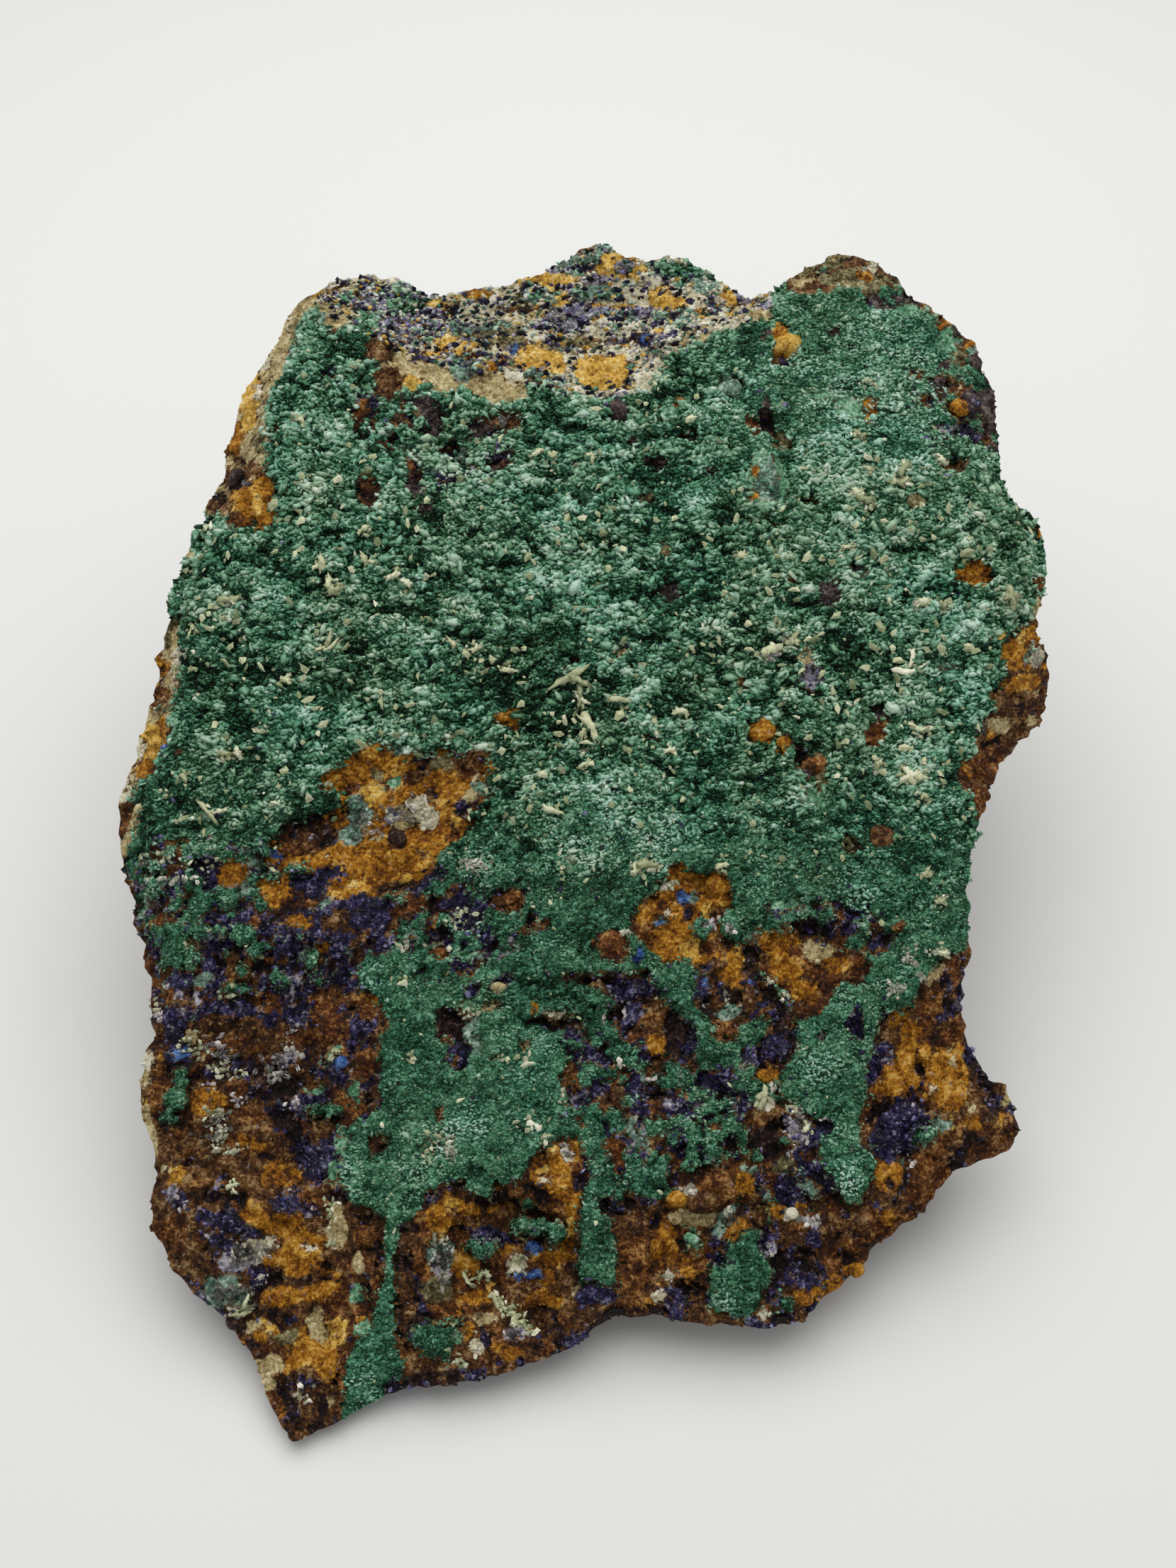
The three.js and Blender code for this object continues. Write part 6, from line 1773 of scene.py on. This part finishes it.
def add_lights():
    """A soft box above and behind the stone, and weak fill from all round."""
    scene = bpy.context.scene
    studio = scene.specimen_studio
    world = bpy.data.worlds.new("studio_world")
    world.use_nodes = True
    background = world.node_tree.nodes["Background"]
    background.inputs["Color"].default_value = colour("#e9ecee")
    background.inputs["Strength"].default_value = studio.fill_strength
    scene.world = world
    lamp = bpy.data.lights.new("soft_box", "AREA")
    lamp.shape = "DISK"
    lamp.size = studio.soft_box_size
    lamp.energy = studio.soft_box_power
    light = bpy.data.objects.new("soft_box", lamp)
    light.location = SOFT_BOX_PLACE
    light.rotation_euler = (Vector(SOFT_BOX_TARGET) - light.location).to_track_quat("-Z", "Y").to_euler()
    scene.collection.objects.link(light)
    scene.view_settings.view_transform = "Standard"


def add_camera():
    """The camera, above and in front of the face, looking down at it."""
    scene = bpy.context.scene
    lens = bpy.data.cameras.new("camera")
    lens.lens = LENS
    lens.sensor_width = SENSOR_WIDTH
    camera = bpy.data.objects.new("camera", lens)
    middle = rock().shift + np.array([0, 0, FACE_HEIGHT])
    camera.location = (middle + np.array(CAMERA_FROM_FACE)) * MM
    camera.rotation_euler = (math.radians(90) - CAMERA_DOWN, 0, 0)
    scene.collection.objects.link(camera)
    scene.camera = camera


# Settings that a user may change

def tint_property(name, description, hex_text):
    """A colour setting."""
    return bpy.props.FloatVectorProperty(
        name=name, description=description, subtype="COLOR", size=3, min=0, max=1,
        default=colour(hex_text)[:3],
    )


def length_property(name, description, metres):
    """A length setting."""
    return bpy.props.FloatProperty(
        name=name, description=description, subtype="DISTANCE", unit="LENGTH", min=0.0001, precision=5,
        default=metres,
    )


class SpecimenSizes(bpy.types.PropertyGroup):
    """Sizes of the grains on the rock."""

    tuft_length: length_property("Tuft length", "Width of a coarse malachite tuft", 0.00095)
    tuft_density: bpy.props.FloatProperty(
        name="Tuft density", description="Share of the usual number of tufts", min=0.1, max=1.2, default=1.0,
    )
    azurite_length: length_property("Azurite length", "Length of an azurite crystal", 0.0012)
    crumb_length: length_property("Crumb length", "Width of a limonite crumb", 0.0011)
    fleck_length: length_property("Fleck length", "Length of a small cream grain", 0.0018)
    quartz_length: length_property("Quartz length", "Length of a quartz prism", 0.0016)


class SpecimenColours(bpy.types.PropertyGroup):
    """Colours of the minerals."""

    # The crevice colour is painted shade between the tufts.
    malachite_crevice_shade: tint_property("Malachite crevice", "Green between the tufts", "#021208")
    malachite_body: tint_property("Malachite body", "Green of the tufts", "#5a9b76")
    malachite_tip: tint_property("Malachite tip", "Mint at the tufts' tips", "#d0ebdb")
    azurite: tint_property("Azurite", "Blue-violet of the azurite", "#140f2b")
    matrix_brown: tint_property("Matrix brown", "Common brown of the broken rock", "#3c2009")
    matrix_dark: tint_property("Matrix dark", "Darkest brown of the broken rock", "#120906")
    cream_fleck: tint_property("Cream fleck", "Cream worms and grains", "#cfd1a6")


class SpecimenStudio(bpy.types.PropertyGroup):
    """The floor and lights."""

    floor_colour: tint_property("Floor", "Colour of the floor", "#eae9e5")
    floor_size: length_property("Floor size", "Side of the square floor", 12.0)
    fill_strength: bpy.props.FloatProperty(
        name="Fill", description="Strength of the light from all round", min=0, default=0.54,
    )
    soft_box_size: length_property("Soft box size", "Width of the soft box", 0.9)
    soft_box_power: bpy.props.FloatProperty(
        name="Soft box power", description="Power of the soft box", subtype="POWER", unit="POWER", min=0,
        default=3.2,
    )


class SPECIMEN_OT_rock(bpy.types.Operator):
    """Make the rock, with its crumbs, its knobs and the grains on its scooped edge"""

    bl_idname = "specimen.rock"
    bl_label = "Rock"

    def execute(self, context):
        material = broken_limonite()
        add_rock(material)
        add_crumbs(material)
        add_knobs(material)
        add_scoop_grains(material)
        return {"FINISHED"}


class SPECIMEN_OT_tufts(bpy.types.Operator):
    """Make the velvety malachite tufts"""

    bl_idname = "specimen.tufts"
    bl_label = "Malachite Tufts"

    def execute(self, context):
        add_tufts()
        return {"FINISHED"}


class SPECIMEN_OT_azurite(bpy.types.Operator):
    """Make the azurite crystals"""

    bl_idname = "specimen.azurite"
    bl_label = "Azurite Crystals"

    def execute(self, context):
        add_azurite()
        return {"FINISHED"}


class SPECIMEN_OT_flecks(bpy.types.Operator):
    """Make the cream worms, cream grains and pale crystals"""

    bl_idname = "specimen.flecks"
    bl_label = "Cream Flecks"

    def execute(self, context):
        material = chalky_flecks()
        add_worms(material)
        add_cream_grains(material)
        add_pale_crystals(material)
        return {"FINISHED"}


class SPECIMEN_OT_quartz(bpy.types.Operator):
    """Make the clear quartz prisms"""

    bl_idname = "specimen.quartz"
    bl_label = "Quartz Prisms"

    def execute(self, context):
        add_quartz()
        return {"FINISHED"}


class SPECIMEN_OT_stage(bpy.types.Operator):
    """Make the floor, lights and camera"""

    bl_idname = "specimen.stage"
    bl_label = "Studio"

    def execute(self, context):
        add_floor()
        add_lights()
        add_camera()
        return {"FINISHED"}


OPERATORS = [
    SPECIMEN_OT_rock, SPECIMEN_OT_tufts, SPECIMEN_OT_azurite, SPECIMEN_OT_flecks, SPECIMEN_OT_quartz,
    SPECIMEN_OT_stage,
]
GROUPS = {
    "specimen_sizes": SpecimenSizes, "specimen_colours": SpecimenColours, "specimen_studio": SpecimenStudio,
}


class SPECIMEN_PT_panel(bpy.types.Panel):
    """Lists the specimen's settings and steps"""

    bl_label = "Malachite Specimen"
    bl_space_type = "VIEW_3D"
    bl_region_type = "UI"
    bl_category = "Specimen"

    def draw(self, context):
        layout = self.layout
        for settings in GROUPS:
            group = getattr(context.scene, settings)
            for name in group.__annotations__:
                layout.prop(group, name)
        for operator in OPERATORS:
            layout.operator(operator.bl_idname)


def register():
    for group in GROUPS.values():
        bpy.utils.register_class(group)
    for operator in OPERATORS:
        bpy.utils.register_class(operator)
    bpy.utils.register_class(SPECIMEN_PT_panel)
    for name, group in GROUPS.items():
        setattr(bpy.types.Scene, name, bpy.props.PointerProperty(type=group))


def unregister():
    for name in GROUPS:
        delattr(bpy.types.Scene, name)
    for used in (SPECIMEN_PT_panel, *reversed(OPERATORS), *GROUPS.values()):
        bpy.utils.unregister_class(used)


def main():
    """Registers the classes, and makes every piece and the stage."""
    register()
    bpy.ops.specimen.rock()
    bpy.ops.specimen.tufts()
    bpy.ops.specimen.azurite()
    bpy.ops.specimen.flecks()
    bpy.ops.specimen.quartz()
    bpy.ops.specimen.stage()


if __name__ == "__main__":
    main()
